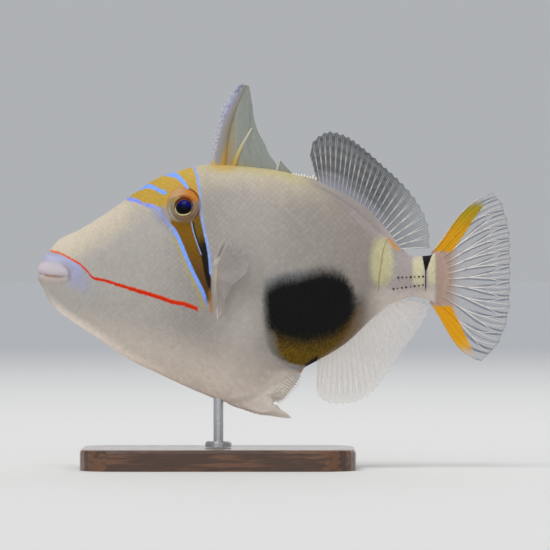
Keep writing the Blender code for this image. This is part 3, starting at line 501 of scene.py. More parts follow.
        # Gill slit with its knob, the hollow of the cheek and the swelling under the side fin
        from_gill = x - self.follow(GILL_LINE, h)
        ends = np.clip((h + 7.5) / 2, 0, 1) * np.clip((12 - h) / 2, 0, 1) * np.clip((h + 1) / 6, 0.3, 1)
        rise -= 0.38 * hill(from_gill, 0.4) * ends
        rise += 0.4 * hill(from_gill + 0.9, 0.6) * ends + 0.2 * hill(from_gill - 1.0, 0.7) * ends
        rise += 0.25 * hill(np.hypot(x - GILL_KNOB[0], (h - GILL_KNOB[1]) * 0.7), 0.9)
        hollow_x = x - CHEEK_HOLLOW[0]
        rise -= 0.45 * hill(np.hypot(hollow_x * 0.55, h - CHEEK_HOLLOW[1] + hollow_x * 0.35), 2.4)
        rise += 0.5 * hill(np.hypot(x - FIN_SWELL[0], (h - FIN_SWELL[1]) * 0.6), 3.2)

        # Unevenness all over
        for ring, point in np.ndindex(rise.shape):
            spot = Vector(self.plain[ring, point])
            rise[ring, point] += sum(high * noise.noise(spot / grain) for high, grain in SKIN_NOISE)
        return rise

    def turret(self):
        """How far the skin stands out, or sinks in under the rim patch, round the eye."""
        x, h = self.plain[..., 0] - RIM_X, self.plain[..., 2] - RIM_H
        outer, inner = np.hypot(x, h), np.hypot(x, h + RIM_DROP)
        from_eye = inner + (outer - inner) * np.clip((outer - 3.4) / 3, 0, 1)
        return self.follow(TURRET_UNDER, from_eye)

    def unroll(self):
        """The skin again as an even grid: ring by ring, by distance down the side from the mouth's level."""
        self.reach, self.step = 64.0, 0.25
        offsets = np.arange(-self.reach, self.reach + self.step, self.step)
        down = np.linalg.norm(np.diff(self.points, axis=1), axis=2)
        run = np.concatenate([np.zeros((len(self.stations), 1)), np.cumsum(down, axis=1)], axis=1)
        start = np.array([np.interp(0, -h, r) for h, r in zip(self.points[..., 2], run)])
        self.top_end, self.low_end = -start, run[:, -1] - start

        def even(grid):
            rings = [
                [np.interp(offsets + start[ring], run[ring], grid[ring, :, k]) for k in range(3)]
                for ring in range(len(self.stations))]
            return np.array(rings).transpose(0, 2, 1)
        self.flat, self.away = even(self.points), even(self.normals)
        line = self.flat[:, int(self.reach / self.step)]
        self.along = np.concatenate([[0], np.cumsum(np.linalg.norm(np.diff(line, axis=0), axis=1))])

    def lookup(self, ring, offset):
        """Points and outward directions at ring numbers and distances down the side, both as arrays."""
        ring = np.clip(ring, 0, len(self.stations) - 1.001)
        slot = np.clip((offset + self.reach) / self.step, 0, self.flat.shape[1] - 1.001)
        i, j = ring.astype(int), slot.astype(int)
        a, b = (ring - i)[..., None], (slot - j)[..., None]

        def blend(grid):
            near = grid[i, j] * (1 - b) + grid[i, j + 1] * b
            far = grid[i + 1, j] * (1 - b) + grid[i + 1, j + 1] * b
            return near * (1 - a) + far * a
        return blend(self.flat), blend(self.away)

    def at(self, x, h):
        """Distance out to the skin at x and level h."""
        ring = float(np.interp(x, self.stations, np.arange(len(self.stations))))
        i, share = int(ring), ring - int(ring)
        i = min(i, len(self.stations) - 2)
        rows = [np.interp(-h, -self.points[r, :, 2], self.points[r, :, 1]) for r in (i, i + 1)]
        return float(rows[0] * (1 - share) + rows[1] * share)


def grid_of(mesh, columns, rows, where, uv=None):
    """Adds a mapped sheet to a bmesh; where(u, v) gives each corner's place in metres."""
    made = bmesh.ops.create_grid(mesh, x_segments=columns, y_segments=rows, size=0.5)["verts"]
    shares = {vert: (vert.co.x + 0.5, vert.co.y + 0.5) for vert in made}
    if uv:
        layer = mesh.loops.layers.uv.verify()
        for face in {face for vert in made for face in vert.link_faces}:
            for loop in face.loops:
                loop[layer].uv = uv(*shares[loop.vert])
    for vert, (u, v) in shares.items():
        vert.co = where(u, v)
    return made


def close_up(mesh, verts):
    """Merges the seam of a rolled sheet and closes its ends."""
    bmesh.ops.remove_doubles(mesh, verts=verts, dist=SEAM)
    left = [v for v in verts if v.is_valid]
    edges = {e for v in left for e in v.link_edges if e.is_boundary}
    bmesh.ops.holes_fill(mesh, edges=list(edges), sides=0)
    faces = {f for v in left for f in v.link_faces}
    bmesh.ops.recalc_face_normals(mesh, faces=list(faces))


def tube(mesh, path, sides, uv=None):
    """Adds a closed tube through path, a list of (point, across, out, half depth, half thickness)."""
    count = len(path) - 1

    def where(u, v):
        point, across, out, depth, thick = path[round(u * count)]
        turn = FULL_TURN * v
        return point + across * (depth * math.cos(turn)) + out * (thick * math.sin(turn))
    verts = grid_of(mesh, count, sides, where, uv)
    close_up(mesh, verts)


def stand_up(mesh, verts, foot, tip, stretch=Matrix()):
    """Turns and moves a shape made about the origin, so that it runs from foot to tip."""
    turned = (tip - foot).to_track_quat("Z", "Y").to_matrix().to_4x4()
    bmesh.ops.transform(mesh, verts=verts, matrix=Matrix.Translation((foot + tip) / 2) @ turned @ stretch)


def cone(mesh, foot, tip, radius, sides):
    """Adds a pointed spine from foot to tip."""
    made = bmesh.ops.create_cone(mesh, cap_ends=True, segments=sides, radius1=radius, radius2=radius * 0.05,
                                 depth=(tip - foot).length)
    stand_up(mesh, made["verts"], foot, tip)


def knob(mesh, foot, tip, radius):
    """Adds a blunt round-topped tooth from foot to tip."""
    made = bmesh.ops.create_uvsphere(mesh, u_segments=8, v_segments=7, radius=1)
    stand_up(mesh, made["verts"], foot, tip, Matrix.Diagonal((radius, radius, (tip - foot).length / 2, 1)))


def thicken(thick):
    """A step for show_piece that gives a sheet its thickness in millimetres."""
    def apply(piece):
        solid = piece.modifiers.new("thickness", "SOLIDIFY")
        solid.thickness = thick * MM
        solid.offset = 0
    return apply


def show_piece(name, mesh, look, replaced, apply=None):
    """Makes a finished piece of a bmesh, applies its modifiers and lets it ride on the part."""
    data = bpy.data.meshes.new(name)
    mesh.to_mesh(data)
    mesh.free()
    piece = bpy.data.objects.new(name, data)
    bpy.context.scene.collection.objects.link(piece)
    data.materials.append(look)
    if apply:
        apply(piece)
        bpy.context.view_layer.update()
        graph = bpy.context.evaluated_depsgraph_get()
        finished = bpy.data.meshes.new_from_object(piece.evaluated_get(graph))
        piece.modifiers.clear()
        piece.data = finished
    piece.data.shade_smooth()
    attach(piece, "root")
    if replaced:
        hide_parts(*replaced)
    return piece


def feed(tree, socket, value):
    """Links a number or a colour to a socket, or sets a plain one there."""
    value = value.socket if isinstance(value, Num) else value
    if isinstance(value, bpy.types.NodeSocket):
        tree.links.new(value, socket)
    else:
        socket.default_value = (*value, 1) if socket.type == "RGBA" else value


def add_node(tree, kind, **inputs):
    """A new node with some inputs fed. A space in an input's label is written as an underscore."""
    node = tree.nodes.new(f"ShaderNode{kind}")
    for label, value in inputs.items():
        feed(tree, node.inputs[label.replace("_", " ")], value)
    return node


def math_node(kind):
    """A method of Num that puts one more math node on the tree."""
    return lambda self, *others: self.op(kind, *others)


class Num:
    """A number in a material's node tree, so that a mark can be written as a sum."""

    def __init__(self, tree, socket):
        self.tree, self.socket = tree, socket

    def op(self, kind, *others):
        node = add_node(self.tree, "Math")
        node.operation = kind
        for slot, value in enumerate((self, *others)):
            feed(self.tree, node.inputs[slot], value)
        return Num(self.tree, node.outputs[0])

    __add__ = __radd__ = math_node("ADD")
    __sub__ = math_node("SUBTRACT")
    __mul__ = __rmul__ = math_node("MULTIPLY")
    __truediv__ = math_node("DIVIDE")
    power = math_node("POWER")
    upto, atleast = math_node("MINIMUM"), math_node("MAXIMUM")
    size, sine, whole = math_node("ABSOLUTE"), math_node("SINE"), math_node("ROUND")

    def __rsub__(self, other):
        return self * -1.0 + other

    def near(self, middle, far, close):
        """1 within close of the middle, and nothing beyond far."""
        return (self - middle).size().rise(far, close)

    def rise(self, start, end, smooth_step=True):
        """0 before start and 1 after end, or the other way where end comes first."""
        low, high, first, last = (start, end, 0.0, 1.0) if end > start else (end, start, 1.0, 0.0)
        node = add_node(
            self.tree, "MapRange", Value=self, From_Min=low, From_Max=high, To_Min=first, To_Max=last)
        node.interpolation_type = "SMOOTHSTEP" if smooth_step else "LINEAR"
        return Num(self.tree, node.outputs["Result"])

    def between(self, low, high, soft):
        """1 between low and high, with soft ends."""
        return self.rise(low - soft, low + soft) * self.rise(high + soft, high - soft)

    def curve(self, knots):
        """The smooth curve through knots (in, out)."""
        lowest, highest = min(k[1] for k in knots), max(k[1] for k in knots)
        first, last = knots[0][0], knots[-1][0]
        reach = max(highest - lowest, 1e-6)
        share = ((self - first) / (last - first)).atleast(0.0).upto(1.0)
        node = add_node(self.tree, "FloatCurve", Value=share)
        line = node.mapping.curves[0]
        places = [((a - first) / (last - first), (b - lowest) / reach) for a, b in knots]
        line.points[0].location, line.points[1].location = places[0], places[-1]
        for spot in places[1:-1]:
            line.points.new(*spot)
        node.mapping.update()
        return Num(self.tree, node.outputs[0]) * reach + lowest


class Paint:
    """A material on a Principled shader, painted by place on the fish in table millimetres."""

    def __init__(self, name, roughness=0.45, **sockets):
        self.material = bpy.data.materials.new(name)
        self.material.use_nodes = True
        self.tree = self.material.node_tree
        self.shader = self.tree.nodes["Principled BSDF"]
        for label, value in {"Roughness": roughness, **sockets}.items():
            self.shader.inputs[label.replace("_", " ")].default_value = value
        self.coords = add_node(self.tree, "TexCoord").outputs
        across, out, up = add_node(self.tree, "SeparateXYZ", Vector=self.coords["Object"]).outputs
        self.x = Num(self.tree, across) / MM - NOSE_X / MM
        self.y = Num(self.tree, out) / MM
        self.h = Num(self.tree, up) / MM - MOUTH_Z / MM

    def uv(self):
        """The two shares of the piece's own map."""
        apart = add_node(self.tree, "SeparateXYZ", Vector=self.coords["UV"])
        return Num(self.tree, apart.outputs["X"]), Num(self.tree, apart.outputs["Y"])

    def attribute(self, name):
        node = add_node(self.tree, "Attribute")
        node.attribute_name = name
        return Num(self.tree, node.outputs["Fac"])

    def noise(self, grain, detail=2.0, stretch=(1, 1, 1), rough=0.5):
        """Even noise from 0 to 1 with grains of so many millimetres."""
        scale = [1 / (grain * MM * s) for s in stretch]
        placed = add_node(self.tree, "Mapping", Scale=scale, Vector=self.coords["Object"])
        node = add_node(
            self.tree, "TexNoise", Scale=1.0, Detail=detail, Roughness=rough, Vector=placed.outputs[0])
        return Num(self.tree, node.outputs["Fac"])

    def mix(self, share, under, over):
        """over laid on under by share. Each colour is a tuple or what another mix gave."""
        node = add_node(self.tree, "Mix")
        node.data_type = "RGBA"
        sockets = {(s.name, s.type): s for s in node.inputs}
        feed(self.tree, sockets["A", "RGBA"], under)
        feed(self.tree, sockets["B", "RGBA"], over)
        feed(self.tree, sockets["Factor", "VALUE"], share)
        return next(s for s in node.outputs if s.type == "RGBA")

    def layers(self, base, *coats):
        """Lays coats, each a (share, colour), one after the other over a base."""
        for share, over in coats:
            base = self.mix(share, base, over)
        return base

    def oval(self, x, h, wide, tall, power=2.0, lean=0.0):
        """How far a place is from the middle (x, h) of an oval, where 1 is its edge."""
        away = self.x - x + (self.h - h) * lean if lean else self.x - x
        return ((away / wide).power(power) + ((self.h - h) / tall).power(power)).power(1 / power)

    def shade(self, under, amount):
        """Multiplies a colour by a number."""
        node = add_node(self.tree, "VectorMath")
        node.operation = "SCALE"
        feed(self.tree, node.inputs[0], under)
        feed(self.tree, node.inputs["Scale"], amount)
        return node.outputs[0]

    def finish(self, base, alpha=None, roughness=None, height=None, bump=0.0003, strength=0.5):
        """Joins colour, clearness, roughness and relief to the shader, and gives the material."""
        feed(self.tree, self.shader.inputs["Base Color"], base)
        for label, value in (("Alpha", alpha), ("Roughness", roughness)):
            if value is not None:
                feed(self.tree, self.shader.inputs[label], value)
        if height is not None:
            node = add_node(self.tree, "Bump", Distance=bump, Strength=strength, Height=height)
            feed(self.tree, self.shader.inputs["Normal"], node.outputs[0])
        return self.material


def stripe(along, across, knots, half, soft, ends=0.6):
    """A painted line: across follows the curve of along through knots, half as wide as it says."""
    first, last = knots[0], knots[-1]
    slope = (last[1] - first[1]) / (last[0] - first[0])
    off = (across - along.curve(knots)).size() * math.cos(math.atan(slope))
    thin = along.between(first[0], last[0], ends)
    return (off - thin * (half + soft) + soft).rise(soft, -soft)


class BodyPaint(Paint):
    """A paint with the noises and measures that the fish's whole pattern shares."""

    def __init__(self, name, roughness):
        super().__init__(name, roughness, Specular_IOR_Level=0.14)
        self.wobble = self.noise(1.1, 2) - 0.5
        self.blotch = self.noise(9.0, 3) - 0.5
        self.streak = self.noise(0.8, 3, (1.0, 2.0, 3.0), 0.65) - 0.5
        self.edge = self.noise(0.8, 2) - 0.5
        self.back, self.up = self.x - PUPIL_X, self.h - PUPIL_H
        self.around = self.oval(PUPIL_X, PUPIL_H, 1, 1)
        self.rim = self.oval(TURRET_X, TURRET_H, *TURRET_HALF)


def ground_coats(paint, hues, base):
    """Greys of head and flank, the tan back, the pale belly and its light keel, and painted light and shade
    on flap, flank and fin foot.
    """
    x, h, wobble, blotch = paint.x, paint.h, paint.wobble, paint.blotch
    below_back = x.curve(BACK_LINE) - h
    keel = h - x.curve(KEEL_LINE)
    return paint.layers(
        base,
        (x.rise(62, 40), hues.cheek),
        (x.rise(88, 132) * 0.8, hues.rear),
        # Pale belly, painted lighter than its own colour as light bounced up from the floor
        ((h + x * 0.22).rise(-4, -31) * x.rise(112, 84) * 0.9, hues.belly),
        # Painted light from below: the belly flap lightened as if lit by light bounced up from the floor
        ((h + (x - 62) * 0.1 + wobble).rise(-36, -47) * x.between(64, 101, 3) * 0.75, tone(250, 240, 228)),
        ((below_back + blotch * 7.0).rise(15, 1) * 0.75 * x.rise(118, 92), hues.back),
        ((below_back + blotch * 5.0).rise(17, 2) * x.rise(42, 26), hues.snout),
        ((below_back + blotch * 2.0).rise(4.5, 0.3) * x.between(62, 100, 6) * 0.6, hues.yellow),
        ((paint.oval(71, 41.5, 7.0, 4.6) + wobble * 0.5).rise(1.1, 0.3) * 0.6, tone(206, 164, 70)),
        # Lilac grey along the soft dorsal fin's foot, darker than its own tint as painted shade against the
        # light falling on its upturned slope
        ((below_back + blotch).rise(2.6, 0.6) * x.rise(100, 110) * x.rise(140, 133) * 0.35,
         tone(172, 163, 166)),
        # Painted shade: a dark line in the crease where the soft dorsal fin meets the body
        ((x.curve(FIN_CREASE) - h).near(0, 0.9, 0.1) * x.between(106, 132, 3) * 0.22, tone(118, 100, 98)),
        ((keel + wobble * 1.5).rise(5.0, 0.6) * x.between(6, 70, 5) * 0.8, tone(255, 240, 228)),
        # Painted light lifting the shadow that the side fin casts on the flank below it
        (paint.oval(77, -20, 10.0, 15.0).rise(1.3, 0.1) * 0.45, tone(226, 218, 206)),
        (h.near(18, 26, 8) * x.between(70, 92, 8) * 0.3, tone(196, 186, 178)))


def patch_coats(paint, hues, base):
    """The black belly patch, its golden lower edge and the dark mark on the belly's own edge, with painted
    light from below on the flap beneath it.
    """
    x, h, blotch, streak, edge = paint.x, paint.h, paint.blotch, paint.streak, paint.edge
    soft_x, soft_h = x + streak * 2.4, h + streak * 3.2
    left, roof, right = h.curve(PATCH_FRONT), soft_x.curve(PATCH_ROOF), soft_h.curve(PATCH_REAR)
    inner = x + edge * 1.4 - left
    inside = inner.rise(-1.6, 2.4) * (right - soft_x + edge * 3).rise(-5.6, 3.4)
    inside = inside * (roof - soft_h + edge * 2).rise(-3.4, 3.0)
    corner = (x + edge * 1.5 - left).rise(-1.4, 1.4) * (soft_x.curve(PATCH_CORNER) - soft_h).rise(-1.8, 2.0)
    smoke = (right - soft_x).rise(-6, 0) * (roof - soft_h).rise(-5, 0) * (x - left).rise(-2, 1)
    low = h - x.curve(PATCH_GOLD) + blotch * 2.6 + streak * 4.0 + edge * 5.0
    gold = paint.layers(
        hues.gold,
        (paint.noise(0.75, 3, rough=0.7).rise(0.4, 0.62) * 0.7, tone(54, 42, 14)),
        ((x + h * 0.4 + blotch * 4).rise(101, 110) * 0.4, tone(112, 72, 20)))
    last = x.curve(PATCH_FOOT) - h - edge * 1.6
    patch = paint.layers(
        hues.patch,
        (paint.noise(0.6, 3, rough=0.7).rise(0.5, 0.8) * 0.5, tone(46, 42, 34)),
        (low.rise(4.2, -4.4), gold),
        (inner.rise(4.4, 1.0) * (h + edge * 3).rise(-20, -25) * 0.85, tone(122, 117, 106)),
        (last.rise(-1.2, 1.2) * 0.8, hues.belly))
    gap = x.curve(PATCH_HEEL) - h + edge
    return paint.layers(
        base,
        (corner * x.rise(112, 98) * 0.6, tone(104, 116, 128)),
        (smoke * h.rise(-32, -27) * 0.4, tone(112, 104, 98)),
        (inside * (last + 0.4).rise(1.4, -0.6), patch),
        (gap.rise(-1.5, -0.8) * x.between(102, 106.6, 0.4) * 0.95, tone(12, 13, 16)),
        # Painted light from below on the flap under the patch, as if bounced up from the floor
        ((h + 36.4).rise(0.5, -2.5) * x.rise(84, 94) * 0.6, tone(255, 246, 234)),
        ((paint.oval(99.9, -37.4, 1.1, 0.9) + edge).rise(1.0, 0.4) * 0.7, tone(186, 128, 50)))


def stalk_coats(paint, hues, base):
    """Pale ovals with golden edges and the black wedge of the tail stalk, and the base of the tail fin."""
    x, h, wobble = paint.x, paint.h, paint.wobble
    wedge = (x - 147.6 - (h - 0.6).atleast(0.0) * 0.09).size() - (h - 0.4).atleast(0.0) * 0.27
    ovals = [(paint.oval(*spot, power=4.0) + wobble * 0.3).rise(1.25, 0.55) * 0.7 for spot in STALK_OVALS]
    return paint.layers(
        base,
        (x.rise(125, 136) * 0.55, tone(190, 180, 180)),
        (x.between(128, 156, 5) * (h + wobble * 2).rise(-3.5, -9.5) * 0.75, tone(226, 214, 204)),
        ((paint.oval(130.9, 4.0, 5.0, 10.5) + paint.blotch * 0.3).rise(1.15, 0.55) * 0.62,
         tone(216, 210, 152)),
        (stripe(h, x + wobble * 0.8, OVAL_EDGE, 0.22, 0.3, 1.6) * 0.55, tone(120, 90, 40)),
        (stripe(h, x + wobble, STALK_GOLD, 0.7, 0.7, 1.6) * 0.85, tone(214, 150, 52)),
        *((share, tone(226, 220, 176)) for share in ovals),
        ((wedge + paint.edge * 0.35).rise(0.42, 0.02) * h.between(-6.5, 9, 1.4), tone(16, 16, 16)),
        ((x + wobble).rise(150.6, 152.0), hues.tail_base))


def mask_coats(paint, hues, base):
    """The golden mask, the hood above the eye and the band below it."""
    x, h, wobble = paint.x, paint.h, paint.wobble
    masked = (x - h.curve(MASK_FRONT)).rise(-0.4, 0.4) * (h.curve(MASK_REAR) - x).rise(-0.4, 0.4)
    hood = paint.mix((h - x * 0.5 + 3.2 + wobble).rise(-2.5, 3.5), tone(146, 132, 100), hues.turret)
    band = paint.layers(
        hues.olive,
        ((h - 8).rise(7, -14), tone(92, 62, 30)),
        ((paint.noise(0.9, 3) - 0.3).atleast(0.0) * 0.8, tone(92, 62, 8)))
    low = (h - 11.5 - (x - 62) * 0.8 + wobble * 5).rise(4.4, -3.2)
    dark = paint.mix(low, tone(116, 88, 14), tone(26, 18, 12))
    mask = paint.layers(
        hues.mask,
        ((paint.blotch + 0.5) * 0.5, tone(184, 146, 60)),
        ((h - 33 + wobble * 2).rise(0, 6) * 0.35, tone(214, 186, 96)),
        ((paint.rim + wobble * 0.16).rise(1.14, 0.94), hood),
        ((h - 19.8 - (x - 58.5).atleast(0.0) * 0.55 + wobble).rise(1.4, -0.8), band),
        ((x - h.curve(BAND_REAR)).rise(-0.2, 0.4) * h.between(-7, 19, 0.8), dark))
    tip = paint.mix((h + wobble * 2).rise(-8.5, -12), tone(146, 104, 40), tone(190, 130, 66))
    return paint.layers(
        base,
        (masked * h.rise(-12.5, -10), mask),
        (stripe(h, x + wobble * 0.6, BAND_TIP, 0.6, 0.5, 2.0) * 0.9, tip),
        (paint.oval(68.2, -1.0, 1.8, 3.6).rise(1.2, 0.4) * 0.25, tone(204, 190, 132)))


def turret_coats(paint, hues, base):
    """The turret round the eye, with its folds, painted shade under the lid fold, its dark rear rim and the
    shadow at the ball.
    """
    wobble, back, up, around, rim = paint.wobble, paint.back, paint.up, paint.around, paint.rim
    high = paint.mix(back.rise(-2.5, 2.5), tone(196, 154, 112), tone(194, 122, 40))
    sides = paint.layers(
        tone(152, 140, 114),
        (back.rise(-2.5, 3.5), tone(140, 116, 90)),
        ((up + back * 0.12 + wobble).rise(1.4, 4.2), high),
        (around.rise(5.6, 4.6) * up.rise(-2.0, -3.2) * 0.8, tone(128, 100, 76)))
    open_foot = up.rise(-4.4, -5.8) * back.between(-2.2, 6, 0.7)
    fold = paint.oval(PUPIL_X - 3.1, PUPIL_H + 2.5, 2.4, 1.0)
    above_ball = around.rise(5.3, 4.3) * (up - back * 0.1).rise(1.2, 2.8) * back.rise(-2.6, -0.6)
    return paint.layers(
        base,
        ((rim + wobble * 0.05).rise(1.03, 0.96) * (1 - open_foot * 0.8), sides),
        (fold.rise(1.2, 0.6) * 0.7, tone(160, 128, 30)),
        (above_ball * 0.85, tone(150, 76, 20)),
        # Painted shade under the lid fold above the ball
        (stripe(back, up + wobble * 0.3, LID_FOLD, 0.12, 0.32, 0.9) * 0.7, tone(92, 52, 22)),
        (rim.near(0.965, 0.075, 0.01) * (back + up * 0.3).rise(1.6, 4.4) * 0.85, tone(80, 42, 22)),
        (rim.near(0.9, 0.08, 0.02) * back.rise(-2.6, -4.6) * up.rise(1.0, -1.5) * 0.5, tone(204, 198, 172)),
        (rim.near(0.72, 0.07, 0.02) * back.rise(-2.6, -4.0) * up.rise(3.0, 0.5) * 0.5, tone(96, 84, 66)),
        (rim.near(1.03, 0.05, 0.01) * back.rise(-3, -5) * up.rise(2.5, 0) * 0.5, tone(136, 130, 166)),
        (back.near(3.7, 0.7, 0.1) * up.near(0.8, 1.8, 0.6) * 0.4, tone(146, 120, 156)),
        (around.rise(3.95, 3.4) * (up.rise(-1, 2.4) * 0.6 + 0.4), tone(60, 36, 18)))


def bar_coats(paint, hues, base):
    """Blue bars over the forehead, the blue edges of the band and the thin line inside it."""
    x, h, wobble, rim = paint.x, paint.h, paint.wobble, paint.rim
    wavy = h + wobble * 0.3
    violet = paint.mix((x - 46).rise(-6, 4), tone(142, 158, 242), tone(164, 172, 224))
    tint = paint.mix((h - 15.5).rise(3.5, -2), tone(150, 162, 216), hues.blue)
    grey = paint.oval(48.74, 21.6, 1.9, 4.0, lean=0.35) + wobble * 0.4
    front = stripe(h, x + 0.12 + wobble * 0.3, BLUE_FRONT, 0.7, 0.22, 1.0) * h.rise(-14, -7)
    rear = stripe(h, x + wobble * 0.25, BLUE_REAR, 0.52, 0.25, 1.5)
    return paint.layers(
        base,
        *((stripe(x, wavy, *bar), violet) for bar in VIOLET_BARS),
        (stripe(h, x + 1.7 + wobble, BLUE_FRONT[:-2], 0.5, 0.9, 2.0) * 0.8, tone(184, 168, 96)),
        (stripe(h, x + 1.5 + wobble, BLUE_FRONT[6:], 1.0, 1.4, 1.0) * 0.6, tone(152, 158, 192)),
        (grey.rise(1.2, 0.55) * rim.rise(0.9, 1.02) * 0.8, tone(152, 152, 172)),
        (front * (h.rise(21.5, 16.5) * 0.45 + 0.55), tint),
        *((stripe(x, wavy, *bar), hues.blue) for bar in BLUE_BARS),
        (rear * (1 - h.between(21.5, 29.5, 1.5) * 0.5), hues.pale_blue),
        (stripe(h, x - 0.6, INNER_LINE, 0.26, 0.2, 0.6) * 0.9, tone(20, 18, 22)),
        (stripe(h, x, INNER_LINE, 0.2, 0.16, 0.5), tone(146, 172, 224)))


def lip_coats(paint, hues, base):
    """The lips, the lilac round them and the red line to the side fin, with a painted highlight on the upper
    lip and painted shade in the fold round the lips.
    """
    x, h, wobble = paint.x, paint.h, paint.wobble
    above_red = h - x.curve(RED_LINE)
    lilac = above_red.rise(0.6, -0.8) * x.rise(25, 13) * (h + x * 0.42).rise(-2.4, 3.4)
    along = ((x - 1) / LIP_LENGTH).atleast(0.0).power(LIP_ROUND)
    lips = (along + ((h - LIP_LEVEL).size() / LIP_HEIGHT).power(LIP_ROUND)).power(1 / LIP_ROUND)
    own_lip = paint.mix(h.rise(-0.4, -2.4), hues.lip, tone(187, 175, 166))
    # Painted highlight across the top of the upper lip
    lip_highlight = (h - 5.8 + (x - 5) * 0.3 + wobble).near(0, 1.6, 0.2)
    mouth = (h - x.curve(MOUTH_LINE) + wobble * 0.4).near(0, 1.0, 0.1)
    mouth_hue = paint.mix((x + wobble).rise(6.0, 7.6), tone(164, 118, 58), hues.mouth)
    rough = (paint.noise(0.6, 2) - 0.5) + (paint.noise(1.7, 1) - 0.5) * 0.5
    width = x.rise(8, 50) * 0.36 + 0.42 + rough
    line = (above_red.size() * 0.93 - width).rise(0.2, -0.2) * x.between(5, 61.3, 0.5)
    red = paint.layers(
        hues.red,
        (x.rise(24, 8), tone(226, 118, 84)),
        ((above_red - 0.1).rise(0.1, 0.5) * 0.4, tone(238, 110, 40)))
    return paint.layers(
        base,
        (lilac * 0.8, hues.lilac),
        ((lips + wobble * 0.06).rise(1.26, 0.72) * h.rise(-6.6, -3.6), own_lip),
        (lip_highlight * x.between(3.0, 9.5, 2) * 0.35, tone(212, 210, 234)),
        ((lips + wobble * 0.06).near(1.3, 0.2, 0.0) * h.rise(-2.0, 2.5) * x.rise(5, 9) * 0.5,
         tone(176, 190, 232)),
        (mouth * x.between(2.8, 10.2, 1.2) * 0.6, mouth_hue),
        # Painted shade in the fold round the lips
        ((lips + wobble * 0.05).near(1.0, 0.11, 0.0) * x.rise(7.5, 11) * h.between(-2.8, 3.0, 1.4) * 0.5,
         tone(126, 116, 114)),
        (line, red))


def gill_coats(paint, hues, base):
    """The gill slit, the knob at its top and the skin round the side fin's root, with painted light over the
    side fin's shadow behind it.
    """
    x, h, wobble = paint.x, paint.h, paint.wobble
    knob_top = paint.oval(68.4, 4.3, 1.0, 1.9, lean=-0.4) + wobble * 0.6
    return paint.layers(
        base,
        ((x - h.curve(GILL_LINE)).near(0, 0.6, 0.1) * h.between(5.5, 10.5, 1.5) * 0.4, tone(120, 100, 86)),
        (knob_top.rise(1.3, 0.3) * 0.45, tone(240, 236, 226)),
        (paint.oval(69.0, -3.0, 2.6, 8.0).rise(1.1, 0.4) * 0.45, tone(204, 188, 178)),
        (stripe(h, x + wobble * 0.4, GILL_STRIP, 1.0, 0.7, 3.0) * 0.85, tone(226, 210, 206)),
        # Painted light lifting the shadow that the side fin casts behind its root
        (paint.oval(74.5, -8.0, 5.0, 9.0).rise(1.1, 0.2) * 0.4, tone(196, 188, 180)))


def paint_body(paint, hues):
    """The whole pattern of the fish, shared by its skin and its scales."""
    base = hues.flank
    for coats in (ground_coats, patch_coats, stalk_coats, mask_coats, turret_coats, bar_coats, lip_coats,
                  gill_coats):
        base = coats(paint, hues, base)
    speckle = (paint.noise(1.6, 4, (0.7, 1, 1.3), 0.7) - 0.5) * 0.22 + (paint.noise(14.0, 2) - 0.5) * 0.10
    return paint.shade(base, speckle + 1.0)


def skin_paint(hues):
    """The pattern on soft skin with fine pores."""
    paint = BodyPaint("fish_skin", 0.45)
    base = paint_body(paint, hues)
    fine, pores = paint.noise(0.45, 3), paint.noise(0.22, 2)
    return paint.finish(base, roughness=0.4 + fine * 0.2, height=fine * 0.6 + pores * 0.4, bump=0.00012,
                        strength=0.6)


def scale_paint(hues):
    """The pattern on plates, each a little lighter or darker than the next."""
    paint = BodyPaint("fish_scales", 0.42)
    base = paint.shade(paint_body(paint, hues), 0.95 + paint.attribute("own_shade") * 0.1)
    grit = paint.noise(0.35, 2)
    return paint.finish(base, roughness=0.38 + grit * 0.16, height=grit, bump=0.00008, strength=0.6)


def round_patch(mesh, x, h, knots, turns, out, drop=0.0):
    """Adds a round patch of skin about (x, h) that follows heights at distances from its middle."""
    rows = len(knots) * 2 - 2

    def where(u, v):
        spot = v * rows / 2
        i = min(int(spot), len(knots) - 2)
        a, b = knots[i], knots[i + 1]
        share = spot - i
        away, rise = a[0] + (b[0] - a[0]) * share, a[1] + (b[1] - a[1]) * share
        turn = FULL_TURN * u
        sunk = drop * ease(1, 0, (away - 3.4) / 3)
        px, ph = x + away * math.cos(turn), h + away * math.sin(turn) - sunk
        top = Vector((px, body_half_width(px, ph), ph)) + EYE_LEAN * rise
        return place(top.x, top.z, out * top.y)
    verts = grid_of(mesh, turns, rows, where)
    bmesh.ops.remove_doubles(mesh, verts=verts, dist=SEAM)


def make_skin(skin, look):
    """The skin of both sides, closed, with the rims of eyes and nostrils."""
    mesh = bmesh.new()
    rings, around = len(skin.stations) - 1, 2 * (HALF_POINTS - 1)

    def where(u, v):
        k = round(v * around)
        side = 1 if k < HALF_POINTS else -1
        x, y, h = skin.points[round(u * rings), k if side > 0 else around - k]
        return place(x, h, side * y)
    grid_of(mesh, rings, around, where)
    bmesh.ops.remove_doubles(mesh, verts=mesh.verts, dist=SEAM)
    bmesh.ops.holes_fill(mesh, edges=[e for e in mesh.edges if e.is_boundary], sides=0)
    bmesh.ops.recalc_face_normals(mesh, faces=mesh.faces)
    for out in SIDES.values():
        patches = bmesh.new()
        round_patch(patches, RIM_X, RIM_H, TURRET, 96, out, RIM_DROP)
        for x, h in NOSTRILS:
            round_patch(patches, x, h, NOSTRIL, 24, out)
        face_out(patches)
        extra = bpy.data.meshes.new("patches")
        patches.to_mesh(extra)
        patches.free()
        mesh.from_mesh(extra)
        bpy.data.meshes.remove(extra)
    replaced = ["head", "trunk", "tail_stalk", "belly_flap", "upper_lip", "lower_lip"]
    return show_piece("fish_skin", mesh, look, replaced)


